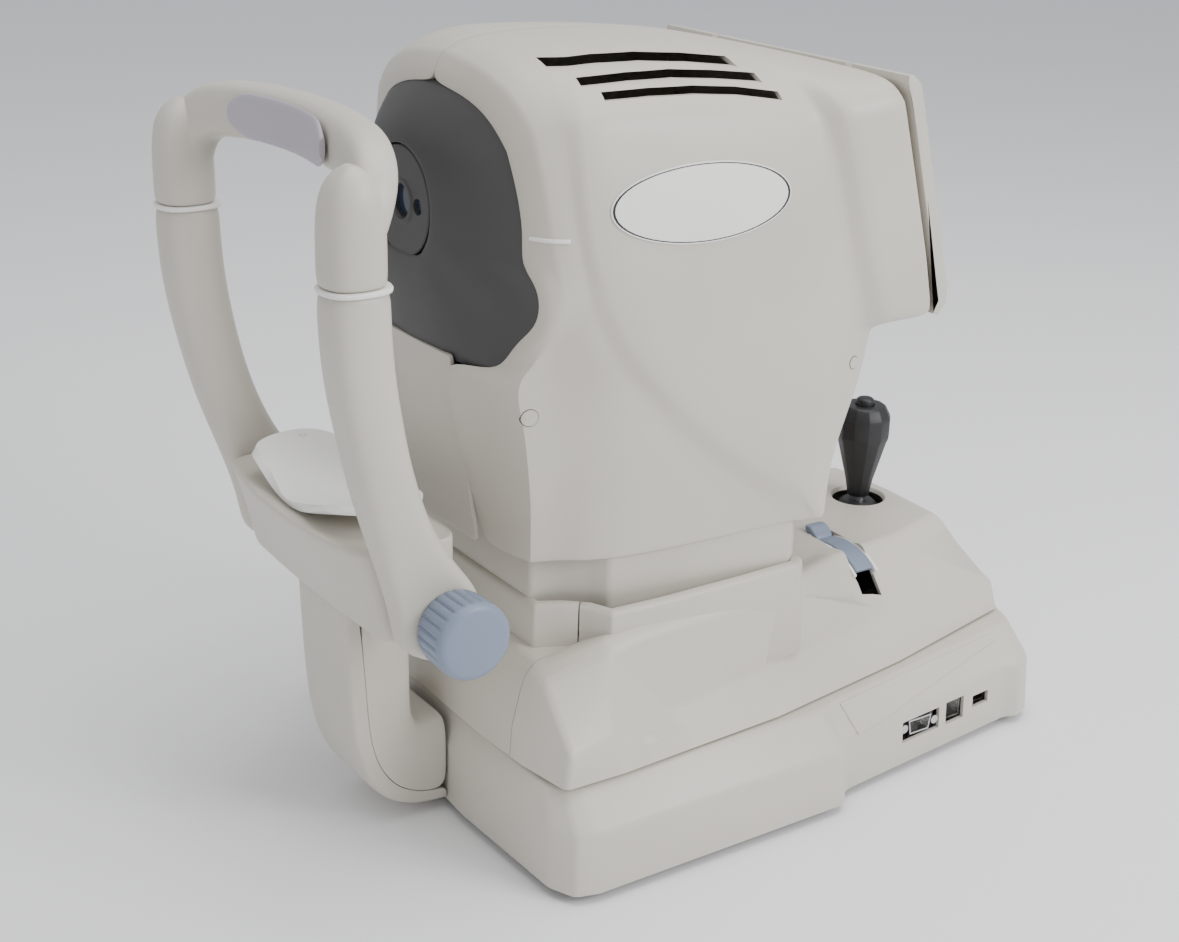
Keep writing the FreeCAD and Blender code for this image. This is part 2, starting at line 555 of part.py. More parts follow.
MASK_REAR = 119.3
MASK_FACE = 137
mask_outer = lofted([(MASK_REAR, xz_mirror(mask_half)), (MASK_FACE, xz_mirror(mask_crown))], "XZ_Plane", "mask")
mask_inner = lofted([(MASK_REAR - 1, inset(xz_mirror(mask_half), 3)),
                     (MASK_FACE - 2.5, inset(xz_mirror(mask_crown), 3))], "XZ_Plane", "mask_hollow")
mask_bore = cylinder((0, -150, size["window_height"]), Y_AXIS, "sizes.window_radius", 40, "mask_bore")
node(cut(mask_outer, [mask_inner, mask_bore]), "face_mask")

disc = cylinder((0, WINDOW, size["window_height"]), Y_AXIS, "sizes.window_radius - 0.1", 7, "disc")
disc_cuts = [cylinder((0, WINDOW - 1, size["window_height"]), Y_AXIS, "sizes.lens_radius", 9, "lens_hole")]
for side in (-1, 1):
    disc_cuts.append(cylinder((side * size["side_hole_offset"], WINDOW - 1, size["window_height"]), Y_AXIS,
                              "sizes.side_hole_radius", 9, "side_hole"))
node(cut(disc, disc_cuts), "window_disc")
lens = cylinder((0, WINDOW + 3, size["window_height"]), Y_AXIS, "sizes.lens_radius - 0.05", 4, "lens")
node(lens, "objective_lens")
side_windows = [cylinder((side * size["side_hole_offset"], WINDOW + 2, size["window_height"]), Y_AXIS,
                         "sizes.side_hole_radius - 0.05", 2, "side_window") for side in (-1, 1)]
node(group(side_windows, "side_windows"), "side_windows")
barrel = cylinder((0, WINDOW + 7, size["window_height"]), Y_AXIS, "sizes.barrel_radius", 150, "barrel")
bore = cylinder((0, WINDOW + 6, size["window_height"]), Y_AXIS, 20, 140, "barrel_bore")
node(cut(barrel, [bore]), "optical_barrel")
CHASSIS_FLOOR = size["sleeve_top"] + 3
cradle = box((-45, -90, CHASSIS_FLOOR + 6), (45, -10, size["window_height"] - 26.2), "cradle")
hollow = box((-39, -91, CHASSIS_FLOOR + 12), (39, -9, size["window_height"] - 32), "cradle_hollow")
deck = box((-70, -92, CHASSIS_FLOOR), (70, 60, CHASSIS_FLOOR + 6), "deck")
node(fuse([cut(cradle, [hollow]), deck], "head_chassis"), "head_chassis")
column = cylinder((0, COLUMN_Y, 95), Z_AXIS, "sizes.column_radius", CHASSIS_FLOOR - 95, "column")
column_bore = cylinder((0, COLUMN_Y, 94), Z_AXIS, "sizes.screw_radius + sizes.running_gap", 90, "column_bore")
node(cut(column, [column_bore]), "lift_column")

# ---- head: small visible pieces ------------------------------------------------------------------------
badges = []
for side in (-1, 1):
    badge = tool("Part::Ellipsoid", "badge")
    bind(badge, Radius2="sizes.badge_height / 2", Radius3="sizes.badge_length / 2")
    badge.Radius1 = 1.6
    badge_centre = FreeCAD.Vector(side * 112.2, -21.5, 369)
    badge.Placement = FreeCAD.Placement(badge_centre, FreeCAD.Rotation(Y_AXIS, 90))
    badges.append(badge)
node(group(badges, "badge_plates"), "badge_plates")
caps = [cylinder((start, -100, 258), X_AXIS, 4.7, 4, "cap") for start in (-101.5, 97.5)]
node(group(caps, "screw_caps"), "screw_caps")

# ---- monitor on its hinge at the top rear edge of the head ----------------------------------------------
LEAN = math.radians(size["monitor_lean"])
FACE_TOP = (125.5, 412)
HINGE = (116, 419)


def on_monitor(down, deep):
    """A point in the YZ plane, down the leaning face from its top edge and deep behind it."""
    y = FACE_TOP[0] + down * math.sin(LEAN) - deep * math.cos(LEAN)
    z = FACE_TOP[1] - down * math.cos(LEAN) - deep * math.sin(LEAN)
    return (y, z)


def slab_on_monitor(half_width, top, bottom, front, back, hint):
    corners = [on_monitor(top, front), on_monitor(bottom, front),
               on_monitor(bottom, back), on_monitor(top, back)]
    return prism("YZ_Plane", corners, -half_width, half_width, hint)


frame_outline = [(113, 425), (117, 425), (122.5, 420.5), FACE_TOP, (157.5, 299), (157.5, 290), (152, 284),
                 (148, 285), (151.5, 292), (116, 414), (113, 421)]
frame_solid = prism("YZ_Plane", frame_outline, -112, 112, "monitor_block")
screen_mouth = slab_on_monitor(88, 12, 104, -1, 1.6, "screen_mouth")
screen_pocket = slab_on_monitor(94, 7, 109, 1.5, 14, "screen_pocket")
hinge_cuts = []
lugs = []
for side in (-1, 1):
    notch_x = side * 62
    hinge_cuts.append(box((notch_x - 2.6, 104, 409), (notch_x + 2.6, 121, 430), "lug_notch"))
    hinge_cuts.append(cylinder((notch_x - 7, HINGE[0], HINGE[1]), X_AXIS, 2.05, 14, "hinge_bore"))
    lug = prism("YZ_Plane", [(104, 414), (104, 420), (115, 422.2), (119, 419), (116, 416)],
                notch_x - 2, notch_x + 2, "lug")
    hinge_pin = cylinder((notch_x - 6.5, HINGE[0], HINGE[1]), X_AXIS, 2, 13, "hinge_pin")
    lugs.append(fuse([lug, hinge_pin], "hinge"))
node(cut(frame_solid, [screen_mouth, screen_pocket] + hinge_cuts), "monitor_frame")
node(slab_on_monitor(93.6, 7.4, 108.6, 1.6, 8, "lcd_screen"), "lcd_screen")
node(group(lugs, "monitor_hinges"), "monitor_hinges")

# ---- chin rest: post -------------------------------------------------------------------------------------
POST = "sizes.post_half_width"
BASE_FACE = -133.2
seam = [(BASE_FACE, 15.2), (-149.9, 17), (-165.6, 25.3), (-175.8, 39), (-181.4, 56.5), (-183.5, 77.6),
        (-184.6, 103.3), (-187.2, 130.5), (-188, 146.8)]
front_band = [(-196.5, 146.8), (-195.5, 103), (-194, 78), (-191, 55), (-185.5, 36), (-176, 21), (-163, 11.5),
              (-148, 7.5), (BASE_FACE, 6.8)]
front_band += seam
front_hollow = [(-194, 148), (-193, 103), (-191.5, 78), (-188.5, 56), (-183.3, 37.5), (-174.3, 23), (-162, 14),
                (-148, 10), (-132, 9.3), (-132, 40), (-160, 60), (-165, 148)]
INNER_LOW = f"-{POST} + sizes.wall"
INNER_HIGH = f"{POST} - sizes.wall"
post_front = cut(prism("YZ_Plane", front_band, f"-{POST}", POST, "post_front"),
                 [prism("YZ_Plane", front_hollow, INNER_LOW, INNER_HIGH, "front_hollow")])
node(post_front, "post_front_cover")
rear_side = [(y + 0.2, z + 0.2) for y, z in seam[1:-1]]
rear_band = [(BASE_FACE, 15.5)] + rear_side
rear_band += [(-187.7, 146.8), (-153.5, 146.8), (-153.5, 66), (-150.5, 62), (BASE_FACE, 61)]
rear_hollow = [(-200, 148), (-200, 8), (-132, 8), (-132, 58.5), (-150, 59.5), (-156, 67), (-156, 148)]
post_rear = cut(prism("YZ_Plane", rear_band, f"-{POST}", POST, "post_rear"),
                [prism("YZ_Plane", rear_hollow, INNER_LOW, INNER_HIGH, "rear_hollow")])
node(post_rear, "post_rear_cover")
strut = [(-176, 145), (-176, 60), (-170, 40), (-160, 27), (BASE_FACE, 24), (BASE_FACE, 52), (-156, 54), (-157, 145)]
strut_hollow = box((-20, -180, 36), (20, -160, 160), "strut_hollow")
strut_channel = cut(prism("YZ_Plane", strut, -25, 25, "strut"), [strut_hollow])
ROD_Y = -184.5
ROD_BOTTOM = 78
shaft_y = size["knob_y"]
shaft_z = size["knob_height"]
rod_guide = fuse([cylinder((0, ROD_Y, 110), Z_AXIS, "sizes.rod_radius + 2", 86, "rod_tube"),
                  box((-25, -192, 112), (25, -160, 116), "low_flange"),
                  box((-25, -192, 138), (25, -160, 143), "high_flange")])
rod_bore = cylinder((0, ROD_Y, 90), Z_AXIS, "sizes.rod_radius + sizes.running_gap", 120, "rod_bore")
pinion_window = cylinder((-7.5, shaft_y, shaft_z), X_AXIS, "sizes.pinion_radius + 0.4", 15, "pinion_window")
node(fuse([strut_channel, cut(rod_guide, [rod_bore, pinion_window])]), "post_frame")

# ---- chin rest: bowl-shaped body, side supports, forehead frame ------------------------------------------
bowl_sections = [
    (147.3, [(0, -201.5), (40, -201), (70, -200.3), (84.6, -198.6), (84.6, -154), (0, -154)]),
    (172, [(0, -211.8), (42, -211), (72, -208), (84.7, -203), (84.7, -155), (0, -155)]),
    (190, [(0, -218.8), (44, -217.5), (73, -213), (84.8, -208), (84.8, -156), (0, -156)]),
    (201, [(0, -222.5), (45, -221), (74, -216), (84.8, -211), (84.8, -156), (0, -156)]),
]
bowl = skin([(place, both_sides(half)) for place, half in bowl_sections], size["wall"], "bowl", floor_open=False)
rod_hole = cylinder((0, ROD_Y, 190), Z_AXIS, "sizes.rod_radius + 0.3", 20, "rod_hole")
tube_hole = cylinder((0, ROD_Y, 140), Z_AXIS, "sizes.rod_radius + 2.3", 12, "tube_hole")
shaft_hole = cylinder((40, shaft_y, shaft_z), X_AXIS, 5, 60, "shaft_hole")
node(cut(bowl, [rod_hole, tube_hole, shaft_hole]), "chinrest_body")

support_outline = [(-238.5, 346.6), (-238.5, 320), (-235.5, 295), (-231.5, 275), (-226, 250), (-220.5, 230),
                   (-214, 210), (-207, 190), (-202, 172), (-198.5, 149), (-186, 143), (-171.5, 139),
                   (-156, 146), (-149.5, 161), (-152.5, 178), (-163, 190), (-172, 201), (-181.5, 218),
                   (-190.5, 240), (-196.5, 262), (-201.5, 290), (-204.5, 320), (-204.5, 346.6)]
IN_X = size["upright_offset"] - size["upright_width"] / 2
OUT_X = size["upright_offset"] + size["upright_width"] / 2
ARM_X = 103.7
trim_outline = [(-250, 130), (-140, 130), (-140, 225), (-250, 225)]
right_whole = prism("YZ_Plane", support_outline, IN_X, OUT_X, "support")
right_trim = prism("YZ_Plane", trim_outline, ARM_X, OUT_X + 2, "trim")
shaft_bore = cylinder((IN_X - 1, shaft_y, shaft_z), X_AXIS, 4.3, 40, "shaft_bore")
node(cut(right_whole, [right_trim, shaft_bore]), "right_support")
left_whole = prism("YZ_Plane", support_outline, -OUT_X, -IN_X, "support")
left_trim = prism("YZ_Plane", trim_outline, -OUT_X - 2, -ARM_X, "trim")
node(cut(left_whole, [left_trim]), "left_support")

rings = []
bar_posts = []
for low_x in (-OUT_X, IN_X):
    high_x = low_x + size["upright_width"]
    rings.append(box((low_x - 0.6, FRONT, 346.7), (high_x + 0.6, -203.8, 349.1), "ring"))
    bar_posts.append(box((low_x, -238.5, 349.2), (high_x, -204.5, 400), "bar_post"))

BAR_SWEEP = 30
BAR_HALF_DEPTH = 13


def bar_curve(shift, reach=115, steps=10):
    """Points across the forehead bar, bowed away from the patient in the middle."""
    xs = [-reach + 2 * reach * i / steps for i in range(steps + 1)]
    return [(x, -191.5 - BAR_SWEEP * (x / 100) ** 2 + shift) for x in xs]


bar_front = [(x, max(y, -238.5)) for x, y in bar_curve(-BAR_HALF_DEPTH)]
bar_outline = bar_front + list(reversed([(x, max(y, -206)) for x, y in bar_curve(BAR_HALF_DEPTH)]))
bar = prism("XY_Plane", bar_outline, "sizes.bar_bottom", "sizes.bar_bottom + sizes.bar_height", "bar")
node(fuse([bar] + bar_posts + rings, "bar_with_posts"), "forehead_frame")
pad_outline = bar_curve(-BAR_HALF_DEPTH - 3.2, 55) + list(reversed(bar_curve(-BAR_HALF_DEPTH - 0.1, 55)))
node(prism("XY_Plane", pad_outline, 390, 414, "forehead_pad"), "forehead_pad")

# ---- chin rest: saddle, rod, pins, knob and shaft ---------------------------------------------------------
saddle_half = [(0, -211), (40, -213), (56, -207), (66, -192), (66, -170), (52, -158), (0, -157)]
saddle_block = prism("XY_Plane", both_sides(saddle_half), 203.5, 213, "saddle")
scoop = cylinder((0, -230, 213 + 84), Y_AXIS, 90, 90, "scoop")
pin_holes = [cylinder((side * 59, -176, 200), Z_AXIS, 2.5, 20, "pin_hole") for side in (-1, 1)]
node(cut(saddle_block, [scoop] + pin_holes), "chinrest")
pins = [cylinder((side * 59, -176, 203.5), Z_AXIS, 2.5, 13.5, "paper_pin") for side in (-1, 1)]
node(group(pins, "paper_pins"), "paper_pins")
rod = cylinder((0, ROD_Y, ROD_BOTTOM), Z_AXIS, "sizes.rod_radius", 203.4 - ROD_BOTTOM, "rod")
node(rod, "chinrest_rod")
KNOB_START = 104.2
FLUTE_REACH = size["knob_radius"] + 1
knob_blank = cylinder((KNOB_START, shaft_y, shaft_z), X_AXIS, "sizes.knob_radius", "sizes.knob_length")
flutes = []
for i in range(int(size["knob_flutes"])):
    turn = 2 * math.pi * i / size["knob_flutes"]
    flute_y = shaft_y + FLUTE_REACH * math.cos(turn)
    flute_z = shaft_z + FLUTE_REACH * math.sin(turn)
    flutes.append(cylinder((KNOB_START - 1, flute_y, flute_z), X_AXIS, 1.8, size["knob_length"] - 3, "flute"))
knob_seat = cylinder((KNOB_START - 1, shaft_y, shaft_z), X_AXIS, 4.02, 13, "knob_seat")
node(cut(knob_blank, flutes + [knob_seat]), "chinrest_knob")
pinion_shaft = fuse([cylinder((-8, shaft_y, shaft_z), X_AXIS, 4, KNOB_START + 20, "pinion_bar"),
                     cylinder((-6, shaft_y, shaft_z), X_AXIS, "sizes.pinion_radius - 0.2", 12, "pinion")])
node(pinion_shaft, "pinion_shaft")

# ---- check every object and write the parts ----------------------------------------------------------------
doc.recompute()
for thing in doc.Objects:
    if "Invalid" in thing.State or "Error" in thing.State:
        raise RuntimeError(f"{thing.Name} failed: {thing.State}")
os.makedirs("parts", exist_ok=True)
for thing in nodes:
    shape = thing.Shape
    if shape.isNull() or not shape.isValid() or not shape.Solids:
        raise RuntimeError(f"{thing.Label} has no valid solid")
    shape.exportStep(f"parts/{thing.Label}.step")
    print(f"{thing.Label}: {len(shape.Solids)} solids, {shape.Volume / 1000:.1f} cm3")
print(len(nodes), "nodes")
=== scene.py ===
import json
import math
import bpy
from mathutils import Matrix, Vector


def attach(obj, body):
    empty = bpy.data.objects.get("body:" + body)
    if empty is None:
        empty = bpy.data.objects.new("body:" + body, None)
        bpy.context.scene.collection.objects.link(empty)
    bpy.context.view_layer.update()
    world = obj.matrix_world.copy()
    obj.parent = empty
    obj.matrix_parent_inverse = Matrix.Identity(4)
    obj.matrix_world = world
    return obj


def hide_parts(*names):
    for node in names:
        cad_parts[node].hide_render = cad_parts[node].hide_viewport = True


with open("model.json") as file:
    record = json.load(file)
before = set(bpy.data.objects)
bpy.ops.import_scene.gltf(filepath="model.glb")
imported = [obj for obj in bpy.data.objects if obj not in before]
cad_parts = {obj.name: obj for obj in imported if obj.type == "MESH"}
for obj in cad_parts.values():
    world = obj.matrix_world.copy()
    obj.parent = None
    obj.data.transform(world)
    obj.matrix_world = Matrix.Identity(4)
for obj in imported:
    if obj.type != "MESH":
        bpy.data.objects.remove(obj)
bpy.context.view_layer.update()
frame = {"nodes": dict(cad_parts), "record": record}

# ---- camera ------------------------------------------------------------------------------------------
# The instrument is seen from its patient side, from the right and from above, at about a metre. The
# camera leans a little to one side.
STAND = (0.8619, -0.6288, 0.5852)
LENS = 56.76
AZIMUTH = math.radians(55.5)
ELEVATION = math.radians(21.1)
ROLL = math.radians(1.4)
back = Vector((math.sin(AZIMUTH) * math.cos(ELEVATION), -math.cos(AZIMUTH) * math.cos(ELEVATION),
               math.sin(ELEVATION)))
level = Vector((math.cos(AZIMUTH), math.sin(AZIMUTH), 0))
upright = back.cross(level)
right = level * math.cos(ROLL) + upright * math.sin(ROLL)
above = upright * math.cos(ROLL) - level * math.sin(ROLL)
bpy.ops.object.camera_add(location=STAND)
camera = bpy.context.object
camera.rotation_euler = Matrix((right, above, back)).transposed().to_euler()
camera.data.sensor_width = 36
camera.data.lens = LENS
bpy.context.scene.camera = camera

# ---- floor and light ---------------------------------------------------------------------------------
# A pale sweep under soft studio light: one large lamp above, a key from the right and a weak fill.
bpy.ops.mesh.primitive_grid_add(x_subdivisions=4, y_subdivisions=4, size=14, location=(0, 0, 0))
floor = bpy.context.object
floor.name = "floor"
paper_sweep = bpy.data.materials.new("paper_sweep")
paper_sweep.use_nodes = True
sweep_shader = paper_sweep.node_tree.nodes["Principled BSDF"]
sweep_shader.inputs["Base Color"].default_value = (0.90, 0.90, 0.91, 1)
sweep_shader.inputs["Roughness"].default_value = 0.75
floor.data.materials.append(paper_sweep)
world = bpy.data.worlds.new("studio")
world.use_nodes = True
world.node_tree.nodes["Background"].inputs["Color"].default_value = (0.95, 0.97, 1.0, 1)
world.node_tree.nodes["Background"].inputs["Strength"].default_value = 0.66
bpy.context.scene.world = world
LAMPS = (("ceiling", (0.2, 0.2, 1.9), 1.6, 26, (0, 0, 0.2)),
         ("key", (1.7, 0.9, 1.2), 0.9, 30, (0, 0, 0.25)),
         ("fill", (0.6, -2.0, 0.9), 1.4, 4, (0, 0, 0.25)))
for name, stand, width, power, target in LAMPS:
    bpy.ops.object.light_add(type="AREA", location=stand)
    lamp = bpy.context.object
    lamp.name = name
    lamp.data.size = width
    lamp.data.energy = power
    lamp.rotation_euler = (Vector(stand) - Vector(target)).to_track_quat("Z", "Y").to_euler()

# ---- inner metalwork, boards and sockets -------------------------------------------------------------
# Pieces whose shape comes straight from the design: rails, shafts, castings, sockets, screws and boards.
# Each takes the finish of its slot, which the new pieces share: moulded, ground, machined or plated.
SLOT_COLOUR = {"ivory_plastic": (0.57, 0.535, 0.47), "white_plastic": (0.84, 0.83, 0.80),
               "mask_plastic": (0.048, 0.046, 0.047), "blue_grey_plastic": (0.20, 0.245, 0.33),
               "black_plastic": (0.012, 0.012, 0.014), "pad_rubber": (0.43, 0.40, 0.45),
               "foot_rubber": (0.02, 0.02, 0.02), "steel": (0.50, 0.51, 0.53),
               "aluminium": (0.62, 0.63, 0.65), "connector_metal": (0.56, 0.56, 0.55),
               "lens_glass": (0.02, 0.03, 0.05), "screen": (0.01, 0.011, 0.014),
               "circuit_board": (0.02, 0.16, 0.07), "paper": (0.85, 0.85, 0.83)}
SLOT_ROUGHNESS = {"ivory_plastic": 0.42, "white_plastic": 0.36, "mask_plastic": 0.5,
                  "blue_grey_plastic": 0.4, "black_plastic": 0.45, "pad_rubber": 0.6, "foot_rubber": 0.8,
                  "steel": 0.3, "aluminium": 0.38, "connector_metal": 0.25, "lens_glass": 0.05,
                  "screen": 0.12, "circuit_board": 0.3, "paper": 0.8}
METALS = ("steel", "aluminium", "connector_metal")
DRIFT_SCALE = 9
SMEAR_SCALE = 38
METAL_GRAIN = 2600
MOULD_GRAIN = 1500
GRAIN_DEPTH = 0.0002


def finish_material(slot):
    """A finish with slow colour drift, uneven gloss and the fine grain that the surface was made with."""
    material = bpy.data.materials.new(slot)
    material.use_nodes = True
    nodes = material.node_tree.nodes
    links = material.node_tree.links
    shader = nodes["Principled BSDF"]
    surface = nodes.new("ShaderNodeTexCoord")

    def noise(size, detail):
        texture = nodes.new("ShaderNodeTexNoise")
        texture.inputs["Scale"].default_value = size
        texture.inputs["Detail"].default_value = detail
        links.new(surface.outputs["Object"], texture.inputs["Vector"])
        return texture

    drift = noise(DRIFT_SCALE, 3)
    shade = nodes.new("ShaderNodeValToRGB")
    colour = SLOT_COLOUR[slot]
    shade.color_ramp.elements[0].position = 0.3
    shade.color_ramp.elements[1].position = 0.7
    shade.color_ramp.elements[0].color = [c * 0.955 for c in colour] + [1]
    shade.color_ramp.elements[1].color = [min(c * 1.03, 1) for c in colour] + [1]
    links.new(drift.outputs["Fac"], shade.inputs["Fac"])
    links.new(shade.outputs["Color"], shader.inputs["Base Color"])
    smear = noise(SMEAR_SCALE, 4)
    gloss = nodes.new("ShaderNodeMapRange")
    gloss.inputs["To Min"].default_value = SLOT_ROUGHNESS[slot] * 0.86
    gloss.inputs["To Max"].default_value = SLOT_ROUGHNESS[slot] * 1.16
    links.new(smear.outputs["Fac"], gloss.inputs["Value"])
    links.new(gloss.outputs["Result"], shader.inputs["Roughness"])
    grain = noise(METAL_GRAIN if slot in METALS else MOULD_GRAIN, 2)
    relief = nodes.new("ShaderNodeBump")
    relief.inputs["Strength"].default_value = 0.1
    relief.inputs["Distance"].default_value = GRAIN_DEPTH
    links.new(grain.outputs["Fac"], relief.inputs["Height"])
    links.new(relief.outputs["Normal"], shader.inputs["Normal"])
    if slot in METALS:
        shader.inputs["Metallic"].default_value = 1
    return material


FINISH = {slot: finish_material(slot) for slot in SLOT_COLOUR}
for entry in frame["record"]["subparts"]:
    skin = frame["nodes"][entry["node"]].data
    skin.materials.clear()
    skin.materials.append(FINISH[entry["material_slot"]])

# ---- head side covers --------------------------------------------------------------------------------
# The two halves of the head's casing, injection moulded in ivory plastic and screwed to the chassis.
# A long curved crease parts the full rear panel from the hollowed front, and the rear widens into the
# monitor box. The halves meet along the top and behind; between them sit the mask and the front panel.
WINDOW_Y = -141.5
DRAWN_BACK = 21
WALL = 0.0025


def place(x, y, z):
    """A place in millimetres, drawn from the middle of the stage's travel and brought to the origin."""
    return Vector((x, y - DRAWN_BACK, z)) * 0.001


def spot(x, y, z):
    """A place on the head in millimetres: across, back from the measuring window's plane, and up."""
    return place(x, y + WINDOW_Y, z)


def only(piece):
    """Select one piece and nothing else."""
    bpy.ops.object.select_all(action="DESELECT")
    piece.select_set(True)
    bpy.context.view_layer.objects.active = piece


def woven(name, rows, creased=(), creased_rows=()):
    """A sheet of quads through rows of points, made from a grid whose corners are moved to them."""
    bpy.ops.object.select_all(action="DESELECT")
    bpy.ops.mesh.primitive_grid_add(x_subdivisions=len(rows[0]) - 1, y_subdivisions=len(rows) - 1, size=1)
    piece = bpy.context.object
    piece.name = name
    points = [point for row in rows for point in row]
    for vertex, point in zip(piece.data.vertices, points):
        vertex.co = point
    marks = piece.data.attributes.new("crease_edge", "FLOAT", "EDGE")
    for edge in piece.data.edges:
        columns = {corner % len(rows[0]) for corner in edge.vertices}
        lines = {corner // len(rows[0]) for corner in edge.vertices}
        along_column = len(columns) == 1 and columns <= set(creased)
        along_row = len(lines) == 1 and lines <= set(creased_rows)
        if along_column or along_row:
            marks.data[edge.index].value = 0.75
    return piece


def weld(piece, distance=0.00002):
    """Join points that meet and turn every face outwards."""
    only(piece)
    bpy.ops.object.mode_set(mode="EDIT")
    bpy.ops.mesh.select_all(action="SELECT")
    bpy.ops.mesh.remove_doubles(threshold=distance)
    bpy.ops.mesh.normals_make_consistent(inside=False)
    bpy.ops.object.mode_set(mode="OBJECT")
    return piece


def modify(piece, kind, **settings):
    """Add a modifier and apply it at once."""
    only(piece)
    modifier = piece.modifiers.new(kind.lower(), kind)
    for name, value in settings.items():
        setattr(modifier, name, value)
    bpy.ops.object.modifier_apply(modifier=modifier.name)
    return piece


def round_out(piece, level=2):
    """Round a coarse sheet out to a smooth one."""
    return modify(piece, "SUBSURF", levels=level, render_levels=level)


def soften(piece, width, angle=25, segments=3):
    """Round the edges that turn by more than the angle; width in millimetres."""
    return modify(piece, "BEVEL", width=width * 0.001, segments=segments, limit_method="ANGLE",
                  angle_limit=math.radians(angle))


def thicken(piece, wall=WALL):
    """Give a sheet its moulded wall, inwards, and break its edges."""
    modify(piece, "SOLIDIFY", thickness=wall, offset=-1, use_even_offset=True, use_quality_normals=True)
    return soften(piece, 0.4, 60, 2)


def carve(piece, *cutters):
    """Cut other shapes out of a piece and throw them away."""
    for cutter in cutters:
        modify(piece, "BOOLEAN", operation="DIFFERENCE", object=cutter, solver="EXACT")
        bpy.data.objects.remove(cutter)
    return piece


def block(low, high):
    """A plain cutter between two corners in millimetres."""
    bpy.ops.object.select_all(action="DESELECT")
    bpy.ops.mesh.primitive_cube_add(size=1)
    cutter = bpy.context.object
    for vertex in cutter.data.vertices:
        vertex.co = place(*[b if c > 0 else a for a, b, c in zip(low, high, vertex.co)])
    return cutter


def dress(piece, slot, body, *stands_for, angle=38):
    """Give a finished piece its surface, its body and the nodes it stands for."""
    piece.data.materials.clear()
    piece.data.materials.append(FINISH[slot])
    only(piece)
    bpy.ops.object.shade_smooth_by_angle(angle=math.radians(angle))
    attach(piece, body)
    if stands_for:
        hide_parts(*stands_for)
    return piece


def mirror_of(piece, name):
    """The left-hand twin of a right-hand piece, with its faces turned back outwards."""
    twin = piece.copy()
    twin.data = piece.data.copy()
    twin.name = name
    bpy.context.scene.collection.objects.link(twin)
    for vertex in twin.data.vertices:
        vertex.co.x = -vertex.co.x
    twin.data.flip_normals()
    return twin


def fill_rib(marks, count):
    """Points of a rib for every row, between the rows where it is given."""
    given = sorted(marks)
    rib = []
    for row in range(count):
        low = max(mark for mark in given if mark <= row)
        high = min(mark for mark in given if mark >= row)
        part = (row - low) / (high - low) if high > low else 0
        rib.append([a + (b - a) * part for a, b in zip(marks[low], marks[high])])
    return rib


# Ribs run from the bottom edge (row 0) over the side to the middle of the top (row 19).
HEAD_ROWS = 20
MASK_EDGE = {0: (40, 28, 172.5), 1: (40, 26, 182), 2: (40, 18, 211), 3: (40, 8, 250), 4: (40, 4, 274),
             5: (42, 5, 283), 6: (66, 19, 280.5), 7: (72, 23, 290), 8: (77, 26, 299), 9: (88, 30, 309),
             10: (90.5, 31, 321), 11: (87, 30, 332), 12: (77, 27, 340), 13: (80, 27, 357),
             14: (74.5, 26, 379), 15: (67, 24.5, 397), 16: (58, 23, 407), 17: (45, 22, 415),
             18: (24, 21, 420.5), 19: (0.15, 20, 422.5)}
RIM_CROWN = {0: (62, 30, 172.5), 1: (63, 29, 182), 2: (64, 26, 211), 3: (64, 18, 250), 4: (62, 11, 270),
             5: (65, 14, 276), 6: (74, 20, 278), 7: (79, 25, 286), 8: (84, 28, 296), 9: (93, 33, 304),
             10: (96, 34, 321), 11: (93, 33, 336), 12: (85, 30, 343), 13: (86, 29, 358),
             14: (81.5, 28, 382), 15: (74, 26, 401.5), 16: (64, 24, 413), 17: (49, 23, 422),
             18: (26, 22, 428), 19: (0.15, 21, 430)}
SIDE_START = {0: (79, 34, 172.5), 2: (82, 32, 211), 3: (82, 28, 250), 4: (82, 23, 268), 5: (83, 23, 277),
              6: (84, 26, 283), 7: (87, 31, 290), 8: (90, 35, 299), 9: (96, 38, 309), 10: (98.5, 40, 321),
              11: (98, 40, 332), 12: (95, 37, 343), 13: (94, 35, 358), 14: (90, 33, 384),
              15: (82, 31, 407), 16: (70, 29, 421), 17: (52, 27, 430), 18: (28, 26, 436),
              19: (0.15, 26, 438)}
HOLLOW = {0: (84, 52, 172.5), 1: (84.5, 52, 182), 2: (86, 50, 211), 3: (86, 46, 250), 5: (85, 40, 281),
          6: (87, 40, 287), 7: (89.5, 41, 293), 8: (93, 43, 301), 9: (98, 46, 310), 10: (100, 47, 321),
          11: (100, 46, 332), 12: (98.5, 43, 344), 13: (97, 40, 358), 14: (93, 38, 385),
          15: (85, 36, 409), 16: (73, 36, 424.5), 17: (54, 35, 435), 18: (29, 35, 441),
          19: (0.15, 35, 443)}
ARCH = {0: (101, 70, 172.5), 1: (101, 71, 182), 2: (101.5, 74, 211), 3: (101, 73, 250), 4: (100, 68, 272),
        5: (99.5, 63, 282), 6: (99, 60, 288), 7: (99, 56, 295), 8: (99.5, 54, 302), 9: (100.5, 53, 311),
        10: (101, 52, 321), 11: (101, 50, 332), 12: (100, 47, 344), 13: (98.5, 44, 358),
        14: (94.5, 41, 385.5), 15: (87, 40, 410), 16: (75, 41, 426.5), 17: (55.5, 43, 437.5),
        18: (30, 44, 443.5), 19: (0.15, 44, 445)}
CREASE_FOOT = {0: (105.5, 188, 172.5), 1: (105.5, 182, 184), 2: (105, 146, 211), 3: (103.5, 102, 250),
               4: (103, 86, 272), 5: (102.5, 76, 282), 7: (102, 68, 295), 9: (102, 59, 311),
               10: (102, 55, 321), 11: (101.5, 52.5, 332), 12: (101, 49.5, 344), 13: (99.5, 46.5, 359),
               14: (96, 44, 387), 15: (89, 44, 412), 16: (77, 48, 429), 17: (57, 52, 440),
               18: (31, 55, 445), 19: (0.15, 56, 446.3)}
